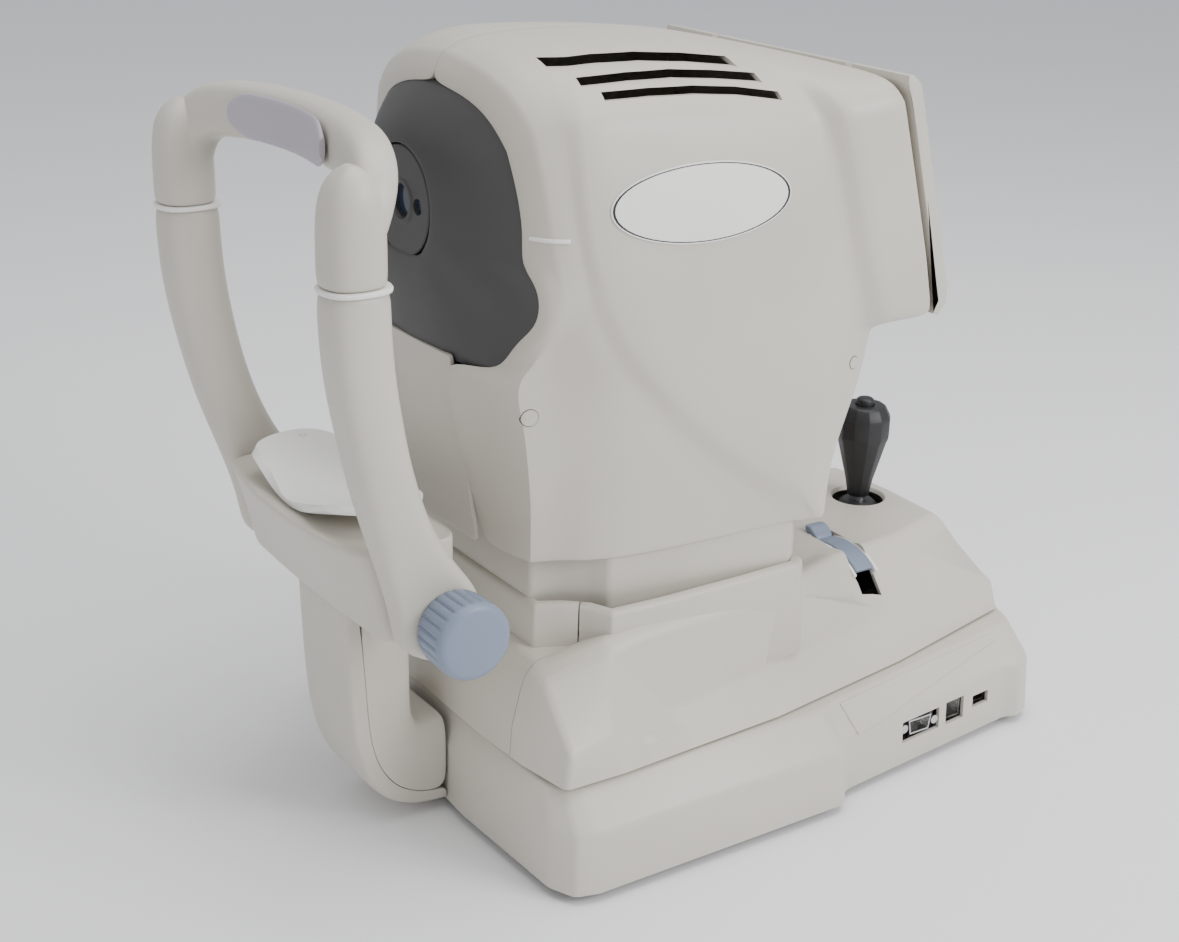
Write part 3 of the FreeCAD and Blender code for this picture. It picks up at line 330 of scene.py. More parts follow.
CREST = {0: (109.5, 208, 172.5), 1: (110, 203, 186), 2: (110, 163, 211), 3: (109.5, 116, 250),
         4: (109, 98, 272), 5: (108.5, 88, 282), 7: (108, 79, 295), 9: (107.5, 69, 311),
         10: (107, 64, 321), 11: (106.5, 60, 332), 12: (106, 56, 344), 13: (104.5, 52.5, 359),
         14: (101.5, 50, 387), 15: (94.5, 51, 412), 16: (83, 58, 429), 17: (60, 64, 441.5),
         18: (33, 70, 446), 19: (0.15, 72, 447)}
PANEL = {0: (111, 212, 172.5), 2: (112, 184, 211), 3: (113, 158, 250), 5: (113.4, 146, 283),
         10: (113.4, 130, 321), 13: (112.5, 120, 359), 14: (109, 115, 389), 15: (102.5, 112, 413),
         16: (92, 112, 426.5), 17: (64, 112, 440), 18: (34, 112, 445.5), 19: (0.15, 112, 447)}
PANEL_REAR = {0: (111, 215, 172.5), 2: (111.5, 205, 211), 3: (112, 205, 250), 5: (112, 205, 283),
              10: (111.5, 197, 321), 13: (110.5, 188, 359), 14: (107.5, 183, 386),
              15: (101.5, 178, 406.5), 16: (91, 172, 420), 17: (63, 168, 434), 18: (34, 166, 440),
              19: (0.15, 165, 442)}
VALLEY = {0: (108.5, 219, 172.5), 2: (108, 222, 211), 3: (106, 236, 250), 4: (105, 238, 272),
          5: (104.5, 238, 281), 6: (105, 239, 284.5), 7: (105.5, 238, 293), 10: (105.5, 229, 321),
          13: (105, 218, 359), 14: (104, 211, 386), 15: (100, 203, 405), 16: (90, 194, 420),
          17: (62, 190, 433), 18: (34, 188, 436.5), 19: (0.15, 187, 438)}
BOX_FRONT = {0: (106, 220, 172.5), 2: (105, 226, 211), 3: (101.5, 246, 250), 4: (100.5, 249, 272),
             5: (100.5, 250, 280), 6: (110.5, 254, 284), 7: (112, 252, 291), 10: (112, 241, 321),
             13: (111.5, 229, 359), 14: (111, 221, 386), 15: (108.5, 214, 408), 16: (97, 207, 423),
             17: (64, 202, 432.5), 18: (34, 200, 434.5), 19: (0.15, 199, 435.5)}
BOX_CORNER = {0: (102, 220, 172.5), 2: (99, 230, 211), 3: (94, 253, 250), 4: (93, 258, 272),
              5: (93, 259, 280), 6: (111.5, 286.5, 283), 7: (112, 287.5, 290), 10: (112, 280.5, 321),
              13: (112, 269.5, 359), 14: (112, 261.5, 386), 15: (111.5, 254.5, 411),
              16: (105, 250, 423.5), 17: (66, 249, 424.5), 18: (34, 249, 425), 19: (0.15, 249, 425)}
BOX_LIP = {0: (95, 221, 172.5), 2: (92, 231, 211), 3: (86, 255, 250), 4: (85, 259, 272),
           5: (85, 260, 280), 6: (106, 288.5, 284.5), 7: (106, 288.5, 292), 10: (106, 281, 321),
           13: (106, 270, 359), 14: (106, 262, 386), 15: (105, 256, 407), 16: (98, 253, 418),
           17: (62, 252, 419), 18: (34, 252, 419.5), 19: (0.15, 252, 419.5)}
REAR_MIDDLE = {0: (0.15, 221, 172.5), 2: (0.15, 232, 211), 3: (0.15, 256, 250), 4: (0.15, 260, 272),
               5: (0.15, 261, 280), 6: (0.15, 288.5, 284.5), 7: (0.15, 288.5, 292), 10: (0.15, 281, 321),
               13: (0.15, 270, 359), 14: (0.15, 262, 386), 15: (0.15, 256, 407), 16: (0.15, 253.5, 416),
               19: (0.15, 252.5, 418.5)}
ribs = [fill_rib(rib, HEAD_ROWS) for rib in (MASK_EDGE, RIM_CROWN, SIDE_START, HOLLOW, ARCH, CREASE_FOOT,
                                             CREST, PANEL, PANEL_REAR, VALLEY, BOX_FRONT, BOX_CORNER,
                                             BOX_LIP, REAR_MIDDLE)]
head_rows = [[spot(*rib[row]) for rib in ribs] for row in range(HEAD_ROWS)]
SHARP_RIBS = (2, 5, 6, 8, 9, 10, 11)
SHARP_ROWS = (15,)
right_cover = woven("head_right_casing", head_rows, creased=SHARP_RIBS, creased_rows=SHARP_ROWS)
weld(right_cover)
round_out(right_cover)
thicken(right_cover)
VENTS = (((51, 438), (80, 438.6), (108, 438), (138, 435.6), (168, 432)),
         ((60, 430.5), (90, 431.2), (118, 430.8), (146, 428.4), (175, 425)),
         ((69, 424), (97, 424.4), (125, 423.6), (153, 421), (181, 416.6)))
VENT_SECTION = ((48, -2), (125, -2), (125, 2), (48, 2), (48, -2))
VENT_MIDDLE = 90
for vent in VENTS:
    rings = [[spot(x, y, z + rise) for x, rise in VENT_SECTION] for y, z in vent]
    rings.insert(0, [spot(VENT_MIDDLE, *vent[0])] * len(VENT_SECTION))
    rings.append([spot(VENT_MIDDLE, *vent[-1])] * len(VENT_SECTION))
    carve(right_cover, weld(woven("vent", rings)))
left_cover = mirror_of(right_cover, "head_left_casing")
dress(right_cover, "ivory_plastic", "head", "head_right_cover")
dress(left_cover, "ivory_plastic", "head", "head_left_cover")

# ---- plates and marks on the head's sides ------------------------------------------------------------
# A blank oval name plate with a dark printed edge, a raised white rib at eye height and round caps over the
# casing screws. Each cap is ringed by a thin near-black sheet that is painted shade, standing in for the
# shadowed gap around it. All are thin pieces, moulded, printed or painted, that follow the casing's surface.


OUTSIDE = 150
ROUND_STEPS = 48


def laid_on(piece, target, lift, wall):
    """Lay a flat sheet on a surface beside it, lifted by so many millimetres and as thick as the wall."""
    modify(piece, "SHRINKWRAP", target=target, wrap_method="PROJECT", use_project_x=True,
           use_negative_direction=True, use_positive_direction=False, offset=lift * 0.001)
    modify(piece, "SOLIDIFY", thickness=wall * 0.001, offset=-1)
    return piece


def oval(name, y, z, half_length, half_height, shares):
    """A flat oval sheet well outside the right-hand side of the head."""
    rows = []
    for share in shares:
        row = []
        for step in range(ROUND_STEPS + 1):
            angle = 2 * math.pi * step / ROUND_STEPS
            row.append(spot(OUTSIDE, y + half_length * share * math.cos(angle), z
                            + half_height * share * math.sin(angle)))
        rows.append(row)
    return weld(woven(name, rows))


SIDE_PLATES = (("name_plate", "white_plastic", 120, 369, 57, 21, (0, 0.3, 0.6, 0.85, 1), 0.9, 1.4),
               ("name_plate_edge", "black_plastic", 120, 369, 56.2, 20.2, (0.975, 1), 1.0, 0.5),
               ("front_screw_cap", "ivory_plastic", 30, 258, 4.6, 4.6, (0, 0.6, 1), 0.35, 1.2),
               # near-black ring round the front cap: painted shade of the gap, not a dark part of its own
               ("front_cap_painted_gap_shade", "mask_plastic", 30, 258, 5.0, 5.0, (0.88, 1), 0.12, 0.6),
               ("rear_screw_cap", "ivory_plastic", 236, 262, 3.6, 3.6, (0, 0.6, 1), 0.35, 1.2),
               # near-black ring round the rear cap: painted shade of the gap, not a dark part of its own
               ("rear_cap_painted_gap_shade", "mask_plastic", 236, 262, 4.0, 4.0, (0.86, 1), 0.12, 0.6))
STANDS_FOR = {"name_plate": ("badge_plates",), "front_screw_cap": ("screw_caps",)}
for name, slot, y, z, long, tall, shares, lift, wall in SIDE_PLATES:
    plate = laid_on(oval(name, y, z, long, tall, shares), right_cover, lift, wall)
    twin = mirror_of(plate, name + "_left")
    dress(plate, slot, "head", *STANDS_FOR.get(name, ()))
    dress(twin, slot, "head")
EYE_Z = 355
rib_rows = [[spot(OUTSIDE, y, EYE_Z + across) for across in (-1.1, 0, 1.1)] for y in range(28, 44, 3)]
rib = woven("eye_level_rib", rib_rows)
laid_on(weld(rib), right_cover, 1.3, 2.2)
soften(rib, 0.5, 40, 2)
dress(mirror_of(rib, "eye_level_rib_left"), "white_plastic", "head")
dress(rib, "white_plastic", "head")

# ---- head front panel --------------------------------------------------------------------------------
# The narrow bowed cover under the mask, moulded in the same ivory plastic and clipped in between the halves.
# Its lower end is let in a little deeper.
PANEL_LINE = ((5.5, 284), (6.5, 277), (9.5, 262), (13, 243), (16.5, 214), (19, 190), (20.5, 188), (22, 173))
PANEL_ACROSS = (-39.6, -38, -24, 0, 24, 38, 39.6)
PANEL_BOW = 0.9
panel_rows = [[spot(x, y + (x / 40) ** 2 * PANEL_BOW, z) for x in PANEL_ACROSS]
              for y, z in PANEL_LINE]
front_panel = thicken(round_out(weld(woven("head_front_panel", panel_rows))))
dress(front_panel, "ivory_plastic", "head", "head_front_cover")

# ---- face mask ---------------------------------------------------------------------------------------
# One dark grey moulding with a satin skin. Its edge tucks under the lip of the casing and it rises to a
# round collar about the measuring window; both lower sides are let in like ears.
mask_edge = [tuple(MASK_EDGE[row]) for row in range(5, HEAD_ROWS)]
mask_edge = mask_edge[:-1] + [(0, 20, 422.5)] + [(-x, y, z) for x, y, z in reversed(mask_edge[:-1])]
WINDOW_Z = 361
COLLAR = 31.2
MASK_RISE = ((-0.03, 0), (0.0, 0.04), (0.1, 0.22), (0.3, 0.5), (0.55, 0.78), (0.8, 0.95), (0.97, 1), (1, 1),
             (1, 0.55))
mask_rows = []
for share, lift in MASK_RISE:
    loop = []
    for x, y, z in mask_edge + mask_edge[:1]:
        angle = math.atan2(z - WINDOW_Z, x)
        loop.append(spot(x + (COLLAR * math.cos(angle) - x) * share, (y + 1.5) * (1 - lift) - 0.5 * lift,
                         z + (WINDOW_Z + COLLAR * math.sin(angle) - z) * share))
    mask_rows.append(loop)
mask = thicken(round_out(weld(woven("mask_moulding", mask_rows)), 1), 0.002)
dress(mask, "mask_plastic", "head", "face_mask")

# ---- window disc -------------------------------------------------------------------------------------
# The round front of the measuring optics: dark moulded plastic with a stepped bore for the lens in the
# middle and a small round port on each side, held behind the mask by a narrow groove.


def turned(name, outline, centre, axis="Z", count=ROUND_STEPS):
    """A closed body of revolution: an outline of (radius, along) spun about an axis through a centre."""
    rows = []
    for radius, along in outline:
        row = []
        for step in range(count + 1):
            angle = 2 * math.pi * step / count
            side, up = radius * math.cos(angle), radius * math.sin(angle)
            shift = {"X": (along, side, up), "Y": (side, along, up), "Z": (side, up, along)}[axis]
            row.append(place(*[a + b for a, b in zip(centre, shift)]))
        rows.append(row)
    return weld(woven(name, rows))


DISC_OUTLINE = ((0, 7), (29.9, 7), (29.9, 0.6), (29.3, 0), (12.5, 0), (11.8, -0.8), (10, -0.8), (9, 1),
                (9, 6.9), (0, 6.9))
PORT_OUTLINE = ((0, -2), (4.5, -2), (4.5, 5), (0, 5))
PORT_SIDE = 18
disc = turned("window_face", DISC_OUTLINE, (0, WINDOW_Y, WINDOW_Z), "Y")
for side in (-PORT_SIDE, PORT_SIDE):
    carve(disc, turned("port", PORT_OUTLINE, (side, WINDOW_Y, WINDOW_Z), "Y", 24))
dress(disc, "mask_plastic", "head", "window_disc", angle=25)

# ---- side supports of the chin rest ------------------------------------------------------------------
# Two hollow ivory mouldings that sweep up from the chin-rest body; each rises to a thin white ring.
# The lower ends thin down to clear the knob.
SUPPORT_LEVELS = ((346.6, -238.5, -204.5, 115), (330, -238.5, -204.5, 115), (305, -237, -203, 115),
                  (280, -232.5, -199, 114.6), (258, -228, -194.5, 113.5), (238, -223, -188.5, 112),
                  (220, -217.5, -181.5, 109.5), (204, -212, -173, 106.5), (190, -207.5, -163.5, 104.6),
                  (176, -203.5, -152.5, 104), (163, -201, -148.5, 103.8), (150, -198.5, -151, 103.8),
                  (142, -186, -161, 103.6))


def stacked(name, rings, low=False, high=False):
    """A sheet through closed rings of points, with its ends drawn together where asked."""
    loops = [list(ring) + [ring[0]] for ring in rings]
    if low:
        middle = sum(rings[0], Vector()) / len(rings[0])
        loops.insert(0, [middle.lerp(point, 0.8) for point in loops[0]])
        loops.insert(0, [middle] * len(loops[0]))
    if high:
        middle = sum(rings[-1], Vector()) / len(rings[-1])
        loops.append([middle.lerp(point, 0.8) for point in loops[-1]])
        loops.append([middle] * len(loops[0]))
    return weld(woven(name, loops))


def rounded(x_low, x_high, y_low, y_high, radius):
    """Twelve points around a rectangle with round corners."""
    points = []
    middle_x, middle_y = (x_low + x_high) / 2, (y_low + y_high) / 2
    for x, y, turn in ((x_high, y_high, 0), (x_low, y_high, 90), (x_low, y_low, 180), (x_high, y_low, 270)):
        for part in (0, 45, 90):
            angle = math.radians(turn + part)
            points.append((x - math.copysign(radius, x - middle_x) + radius * 1.04 * math.cos(angle),
                           y - math.copysign(radius, y - middle_y) + radius * 1.04 * math.sin(angle)))
    return points


SUPPORT_INNER = 85
SUPPORT_ROUND = 11
support_rings = []
for z, front, rear, outer in SUPPORT_LEVELS:
    corner = min(SUPPORT_ROUND, (outer - SUPPORT_INNER) / 2.3)
    support_rings.append([place(x, y, z) for x, y in rounded(SUPPORT_INNER, outer, front, rear, corner)])
right_support = round_out(stacked("right_side_support", support_rings, low=True, high=True))
left_support = mirror_of(right_support, "left_side_support")
dress(right_support, "ivory_plastic", "base", "right_support")
dress(left_support, "ivory_plastic", "base", "left_support")

# ---- forehead frame ----------------------------------------------------------------------------------
# A bowed ivory bar between the tops of the uprights. Each upright ends in a dome, and the bar leaves it
# on the side of the head, so the right end shows as a loop behind the dome. White rings hide the joints.
BAR_LINE = ((-100, -221.5, 362), (-100, -218.5, 382), (-96, -212.5, 396), (-82, -206.5, 402.5),
            (-58, -199, 404.5), (-28, -193, 405), (0, -191.5, 405), (28, -193, 405), (58, -198, 405),
            (80, -202, 403), (93, -207, 395), (98.5, -216, 380), (100, -226, 362))
BAR_SECTION = rounded(-12, 12, -15, 15, 8)
bar_rings = []
for step, centre in enumerate(BAR_LINE):
    before = Vector(BAR_LINE[max(step - 1, 0)])
    after = Vector(BAR_LINE[min(step + 1, len(BAR_LINE) - 1)])
    along = (after - before).normalized()
    depth = Vector((0, 1, 0)) - along * along.y
    depth.normalize()
    rise = depth.cross(along)
    bar_rings.append([place(*(Vector(centre) + depth * a + rise * b)) for a, b in BAR_SECTION])
bar = round_out(stacked("forehead_bar", bar_rings, low=True, high=True))
dress(bar, "ivory_plastic", "base", "forehead_frame")
DOME_LEVELS = ((349.3, 0), (360, 0), (376, 0), (389, 1), (398, 4), (404, 9.5), (406.5, 14))
COLLAR_LEVELS = ((346.4, 0), (346.8, 0.5), (348.8, 0.5), (349.2, 0))
for side in (-1, 1):
    dome_rings = []
    for z, shrink in DOME_LEVELS:
        dome = rounded(85 + shrink * 0.8, 115 - shrink * 0.8, -238.5 + shrink, -206 - shrink, 11
                       - shrink * 0.65)
        dome_rings.append([place(side * x, y, z) for x, y in dome])
    dress(round_out(stacked("upright_top", dome_rings, low=True, high=True)), "ivory_plastic", "base")
    collar_rings = []
    for z, out in COLLAR_LEVELS:
        collar = rounded(84.6 - out, 115.4 + out, -238.6 - out, -204 + out, 11)
        collar_rings.append([place(side * x, y, z) for x, y in collar])
    dress(round_out(stacked("support_ring", collar_rings, low=True, high=True), 1), "white_plastic", "base")

# ---- forehead pad ------------------------------------------------------------------------------------
# A thin lilac-grey cushion of silicone rubber. It is pressed onto the patient's side of the bar and
# follows its bow; its ends are rounded.
PAD_REACH = 54
PAD_HALF_HEIGHT = 12.5
PAD_Z = 405
PAD_SECTION = ((1.2, -1), (-1, -1), (-2.6, -0.8), (-3, 0), (-2.6, 0.8), (-1, 1), (1.2, 1))
pad_rows = []
for across in range(-7, 8):
    x = across / 7 * PAD_REACH
    line_y = -191.5 - 12.2 - 30 * (x / 100) ** 2
    tall = PAD_HALF_HEIGHT * math.sqrt(max(1 - (abs(across) / 7) ** 10, 0.2))
    pad_rows.append([place(x, line_y + proud, PAD_Z + tall * share) for proud, share in PAD_SECTION])
pad = round_out(stacked("forehead_cushion", pad_rows, low=True, high=True))
dress(pad, "pad_rubber", "base", "forehead_pad")

# ---- chin-rest body ----------------------------------------------------------------------------------
# The ivory boat-shaped housing between the supports: rounded towards the patient, flat on top under the
# chin rest, drawn in below to the width of the post.
BOWL_LEVELS = ((147.2, -201.5, -198.6, 84.4), (149, -202.6, -199.4, 84.6), (160, -207, -201.5, 84.7),
               (175, -213, -204.5, 84.8), (190, -218.8, -208, 84.8), (199, -222.4, -211, 84.8),
               (201.4, -220.5, -209.5, 84.6), (199, -213, -203, 78))
BOWL_REAR = -154
bowl_rings = []
for z, middle_y, side_y, wide in BOWL_LEVELS:
    half = [(0, middle_y), (wide * 0.3, middle_y + 0.4), (wide * 0.6, middle_y * 0.72 + side_y * 0.28
                                                          + 0.5),
            (wide * 0.85, middle_y * 0.3 + side_y * 0.7), (wide, side_y + 1),
            (wide, (side_y + BOWL_REAR) / 2), (wide, -160), (wide - 6, BOWL_REAR),
            (wide * 0.5, BOWL_REAR), (0, BOWL_REAR)]
    loop = half + [(-x, y) for x, y in reversed(half) if x > 0]
    bowl_rings.append([place(x, y, z) for x, y in loop])
bowl = round_out(stacked("chin_rest_housing", bowl_rings, low=True, high=True))
dress(bowl, "ivory_plastic", "base", "chinrest_body")

# ---- chin-rest post ----------------------------------------------------------------------------------
# Two ivory shells, screwed together, carry the chin rest from the base: the front one is bowed and runs
# under into the base, the rear one closes it towards the stage. A curved seam shows on both sides.
POST_FRONT = ((-196.6, 148), (-195.5, 103), (-194, 78), (-191, 55), (-185.5, 36), (-176, 21),
              (-163, 11.5), (-148, 7.5), (-133, 6.8))
POST_SEAM = ((-188, 148), (-184.6, 103.3), (-183.5, 77.6), (-181.4, 56.5), (-175.8, 39), (-165.6, 25.3),
             (-155, 19.3), (-146, 16.2), (-133, 15.2))
POST_REAR = ((-153.5, 148), (-153.5, 104), (-153.5, 78), (-152.5, 67), (-150, 62.8), (-146, 61),
             (-142, 61), (-137, 61), (-133, 61))


POST_HALF = 30


def post_band(name, faces, gap):
    """One shell of the post: from the seam along a side, round the corner, across and back."""
    rows = []
    for (seam_y, seam_z), (face_y, face_z) in zip(POST_SEAM, faces):
        seam, face = Vector((seam_y, seam_z)), Vector((face_y, face_z))
        row = [(POST_HALF, seam.lerp(face, share)) for share in (gap, 0.4, 0.7)]
        row += [(29, seam.lerp(face, 0.9)), (25, face), (16, face), (0, face)]
        row += [(-x, point) for x, point in reversed(row[:-1])]
        rows.append([place(x, point.x, point.y) for x, point in row])
    return thicken(round_out(weld(woven(name, rows))))


dress(post_band("post_front_shell", POST_FRONT, 0.012), "ivory_plastic", "base", "post_front_cover")
dress(post_band("post_rear_shell", POST_REAR, 0.008), "ivory_plastic", "base", "post_rear_cover")

# ---- chin rest ---------------------------------------------------------------------------------------
# The white saddle that takes the chin, moulded with a shallow dish and raised ends. It stands on the
# steel rod that the knob lifts.
SADDLE_WIDTHS = ((-213, 44), (-211.5, 52), (-205, 59), (-194, 65), (-182, 66.5), (-171, 66), (-162, 58),
                 (-157.5, 50), (-156.5, 46))
SADDLE_SHARES = (-1, -0.93, -0.75, -0.45, 0, 0.45, 0.75, 0.93, 1)
SADDLE_DISH = 8.5
SADDLE_Z = 213.5
saddle_rows = []
for y, wide in SADDLE_WIDTHS:
    row = []
    for share in SADDLE_SHARES:
        dish = SADDLE_DISH * (1 - abs(share) ** 2.2)
        row.append(place(wide * share, y, SADDLE_Z - dish
                         - 0.012 * (y + 185) ** 2 * (1 - share ** 2) ** 2 * 0.6))
    saddle_rows.append(row)
saddle = thicken(round_out(weld(woven("chin_saddle", saddle_rows))), 0.0045)
dress(saddle, "white_plastic", "chinrest", "chinrest")

# ---- chin-rest knob ----------------------------------------------------------------------------------
# A blue-grey fluted hand wheel on the right, moulded in one piece with its plain domed cap and
# pressed onto the pinion shaft.
KNOB_CENTRE = (104.2, -171.5, 161)
FLUTES = 24
FLUTE_DEPTH = 1.1
KNOB_RINGS = ((0, 0, 0), (18, 0, 0), (20.6, 0.8, 0.4), (21.2, 3, 1), (21.5, 12, 1), (21.7, 19.5, 1),
              (21.6, 21, 0.3), (21.2, 23, 0), (20, 24.8, 0), (17, 25.6, 0), (8, 26, 0), (0, 26, 0))
knob_rows = []
for radius, along, fluting in KNOB_RINGS:
    row = []
    for step in range(FLUTES * 8 + 1):
        angle = 2 * math.pi * step / (FLUTES * 8)
        reach = radius - fluting * FLUTE_DEPTH * max(math.cos(FLUTES * angle), 0) ** 2
        row.append(place(KNOB_CENTRE[0] + along, KNOB_CENTRE[1] + reach * math.cos(angle),
                         KNOB_CENTRE[2] + reach * math.sin(angle)))
    knob_rows.append(row)
dress(weld(woven("hand_wheel", knob_rows)), "blue_grey_plastic", "chin_knob", "chinrest_knob", angle=50)

# ---- stage covers ------------------------------------------------------------------------------------
# The wide ivory hood over the cross slide. Its shoulders rise beside the lower tier of the neck and drop
# to the rear, where the joystick stands. The front quarter is a separate cover with a fine gap.


def both(half):
    """A half outline with its mirror image."""
    return half + [(-x, y) for x, y in reversed(half) if x > 0]


STAGE_LEVELS = ((65, ((0, -128.5), (63, -130), (105, -128), (141, -122.5), (142, -85.5), (139, -30.5),
                      (136, 29.5), (120, 138.5), (96, 248), (70, 257), (0, 258))),
                (84, ((0, -127), (63, -128.5), (105, -126.5), (140, -118.5), (134, -85), (124, -42),
                      (112, 45.5), (96, 159.5), (92, 245), (66, 252), (0, 252))),
                (113, ((0, -118), (60, -118), (100, -119.5), (108, -116), (117, -80), (117, -56.5),
                       (110, 60), (76, 124), (68, 185.5), (54, 236), (0, 239))),
                (120, ((0, -110), (57, -110), (92, -112), (99, -108), (110, -78), (111, -56), (104, 60),
                       (70, 124), (64, 183), (50, 230), (0, 233))), (120.5, ((0, -100), (50, -100),
                                                                             (76, -100), (80, -98),
                                                                             (82, -74), (82, -56),
                                                                             (78, 46), (62, 118),
                                                                             (60, 180), (47, 226),
                                                                             (0, 229))))
SHOULDER = (0, 0, 0, 1, 14, 16, 15, 2, 0, 0, 0)
hood_rings = []
for z, half in STAGE_LEVELS:
    rise = [z + extra * (100 < z <= 120) for extra in SHOULDER]
    right_half = [place(x, y, height) for (x, y), height in zip(half, rise)]
    left_half = [place(-x, y, height) for (x, y), height in zip(half, rise) if x > 0]
    hood_rings.append(right_half + left_half[::-1])
hood = stacked("stage_hood", hood_rings, high=True)
soften(hood, 3.4, 18, 4)
thicken(hood)
NECK_OPENING = ((-74, -90, 112), (74, 50, 124))
LEVER_SLOT = ((37, 132.5, 88), (88.5, 149.5, 130))
STICK_HOLE = ((0, 90), (17, 90), (17, 118), (17.6, 119.4), (19, 121), (0, 121))
STICK_Y = 205.5
carve(hood, block(*NECK_OPENING), turned("joystick_hole", STICK_HOLE, (0, STICK_Y, 0)), block(*LEVER_SLOT))
front_hood = hood.copy()
front_hood.data = hood.data.copy()
bpy.context.scene.collection.objects.link(front_hood)
front_hood.name = "stage_front_hood"
FRONT_QUARTER = ((-92.8, -140, 60), (92.8, -76.8, 160))
FRONT_AND_GAP = ((-93.3, -141, 59), (93.3, -76.3, 161))
quarter = block(*FRONT_QUARTER)
modify(front_hood, "BOOLEAN", operation="INTERSECT", object=quarter, solver="EXACT")
bpy.data.objects.remove(quarter)
carve(hood, block(*FRONT_AND_GAP))
TIER_FRONT = ((92.6, -84.5), (86, -92), (79, -105), (0, -105))
TIER_REAR = ((93.2, -83.8), (97, -79.5), (110, -73.5), (112, -40), (112, 20), (111, 60), (104, 68), (0, 68))
TIER_LEVELS = ((88, 1.6), (139, 0), (144, -0.4), (146, -2.2), (146.3, -5))
tier_parts = []
for name, path in (("neck_tier_front", both(list(TIER_FRONT))[::-1]), ("neck_tier", both(list(TIER_REAR)))):
    tier_rows = [[place(x * (1 + out / 110), (y + 18) * (1 + out / 90) - 18, z) for x, y in path]
                 for z, out in TIER_LEVELS]
    tier_parts.append(thicken(soften(weld(woven(name, tier_rows)), 2, 28, 3)))
tier_front, tier = tier_parts
dress(hood, "ivory_plastic", "stage", "stage_rear_cover")
dress(tier, "ivory_plastic", "stage")
dress(front_hood, "ivory_plastic", "stage", "stage_front_cover")
dress(tier_front, "ivory_plastic", "stage")

# ---- neck sleeve -------------------------------------------------------------------------------------
# The upper ivory tier of the neck, moulded in one piece and screwed to the stage. The head's skirt
# slides over it as it rises.
SLEEVE = ((0, -102), (70, -102), (76, -84), (88, -70.5), (95, -65.5), (100, -11), (105, 56), (98, 65),
          (0, 65))
SLEEVE_HEIGHTS = (124, 150, 176, 203)
sleeve_rings = [[place(x, y, z) for x, y in both(list(SLEEVE))] for z in SLEEVE_HEIGHTS]
sleeve = thicken(soften(stacked("neck_upper_tier", sleeve_rings), 2.5, 28, 3))
dress(sleeve, "ivory_plastic", "stage", "neck_sleeve")

# ---- base cover --------------------------------------------------------------------------------------
# The broad ivory foot of the instrument. Its sides lean in above a full belly, step in beside the sockets
# and swell again at the rear corners; the dark gap above it lets the stage slide.
BASE_LEVELS = ((6, ((0, -130), (50, -133), (138, -131), (154, -124), (158, -110), (158.5, 60),
                    (156.5, 68), (149, 72), (146, 80), (131, 226), (134.5, 236), (128, 250), (100, 261),
                    (62, 281.5), (0, 281.5))), (42, ((0, -130), (50, -132), (137, -130), (152, -122),
                                                     (156, -108), (157, 58), (154.5, 66), (147, 70),
                                                     (144, 80), (129, 226), (131.5, 236), (125, 250),
                                                     (97, 261), (61, 281.3), (0, 281.3))),
               (63, ((0, -126), (50, -126), (122, -126), (134, -120), (138, -110), (140, 52), (139.5, 58),
                     (137, 66), (134, 84), (113, 228), (111, 240), (104, 248), (82, 256), (54, 279),
                     (0, 279))))
base_rings = [[place(x, y, z) for x, y in both(list(half))] for z, half in BASE_LEVELS]
foot = stacked("base_moulding", base_rings, high=True)
soften(foot, 2.6, 18, 4)
thicken(foot)
BASE_OPENINGS = {"rails": ((-92, -44, 50), (92, 144, 70)),
                 "serial socket": ((116, 127, 20), (160, 161, 34)),
                 "network socket": ((116, 167.5, 19.5), (160, 184.5, 34.5)),
                 "bus socket": ((116, 193.5, 23), (160, 208.5, 31)),
                 "inlet": ((-160, 135, 15), (-110, 165, 39)),
                 "rocker": ((-160, 184, 19), (-110, 206, 35)), "printer": ((-40, 261, 14), (40, 286, 54))}
carve(foot, *[block(*corners) for corners in BASE_OPENINGS.values()])
dress(foot, "ivory_plastic", "base", "base_cover")

# ---- blank panel over the sockets --------------------------------------------------------------------
# A thin ivory panel laid on the leaning side above the sockets, moulded in the same plastic as the
# base. Its lower edge climbs to the rear; its face is left plain.
LABEL_START, LABEL_LENGTH = 76, 148
LABEL_LOW, LABEL_CLIMB = 40, 17
BESIDE = 170
label_rows = []
for share in (0, 0.02, 0.25, 0.5, 0.75, 0.98, 1):
    y = LABEL_START + LABEL_LENGTH * share
    low = LABEL_LOW + LABEL_CLIMB * share
    label_rows.append([place(BESIDE, y + (60 - z) * 0.5 * (1 - share), z)
                       for z in (low, low + 0.4, 60.5, 61)])
label = laid_on(weld(woven("socket_panel", label_rows)), foot, 0.9, 1.4)
soften(label, 0.3, 40, 2)
dress(label, "ivory_plastic", "base")

# ---- lock lever --------------------------------------------------------------------------------------
# A blue-grey moulded strip bent over the crest of the hood, with a raised thumb tab at its inner end. It
# swings between two white cheeks.
LEVER_AXIS = (54, 141, 78)
STRIP_RADIUS = 42.6
CHEEK_RADIUS = 42.3
TAB_LEVELS = ((116, 33, 42, 7), (119, 31, 41, 7.2), (122.5, 28.5, 37, 7.4), (124.5, 28, 34, 7))


def lever_arc(radius, start, end, low, high, count=12):
    """Rows of points along an arc about the lever's axis, from one angle to another, across a width."""
    rows = []
    for step in range(count + 1):
        angle = math.radians(start + (end - start) * step / count)
        x, z = LEVER_AXIS[0] + radius * math.cos(angle), LEVER_AXIS[2] + radius * math.sin(angle)
        rows.append([place(x, y, z) for y in (low, low + (high - low) * 0.5, high)])
    return rows


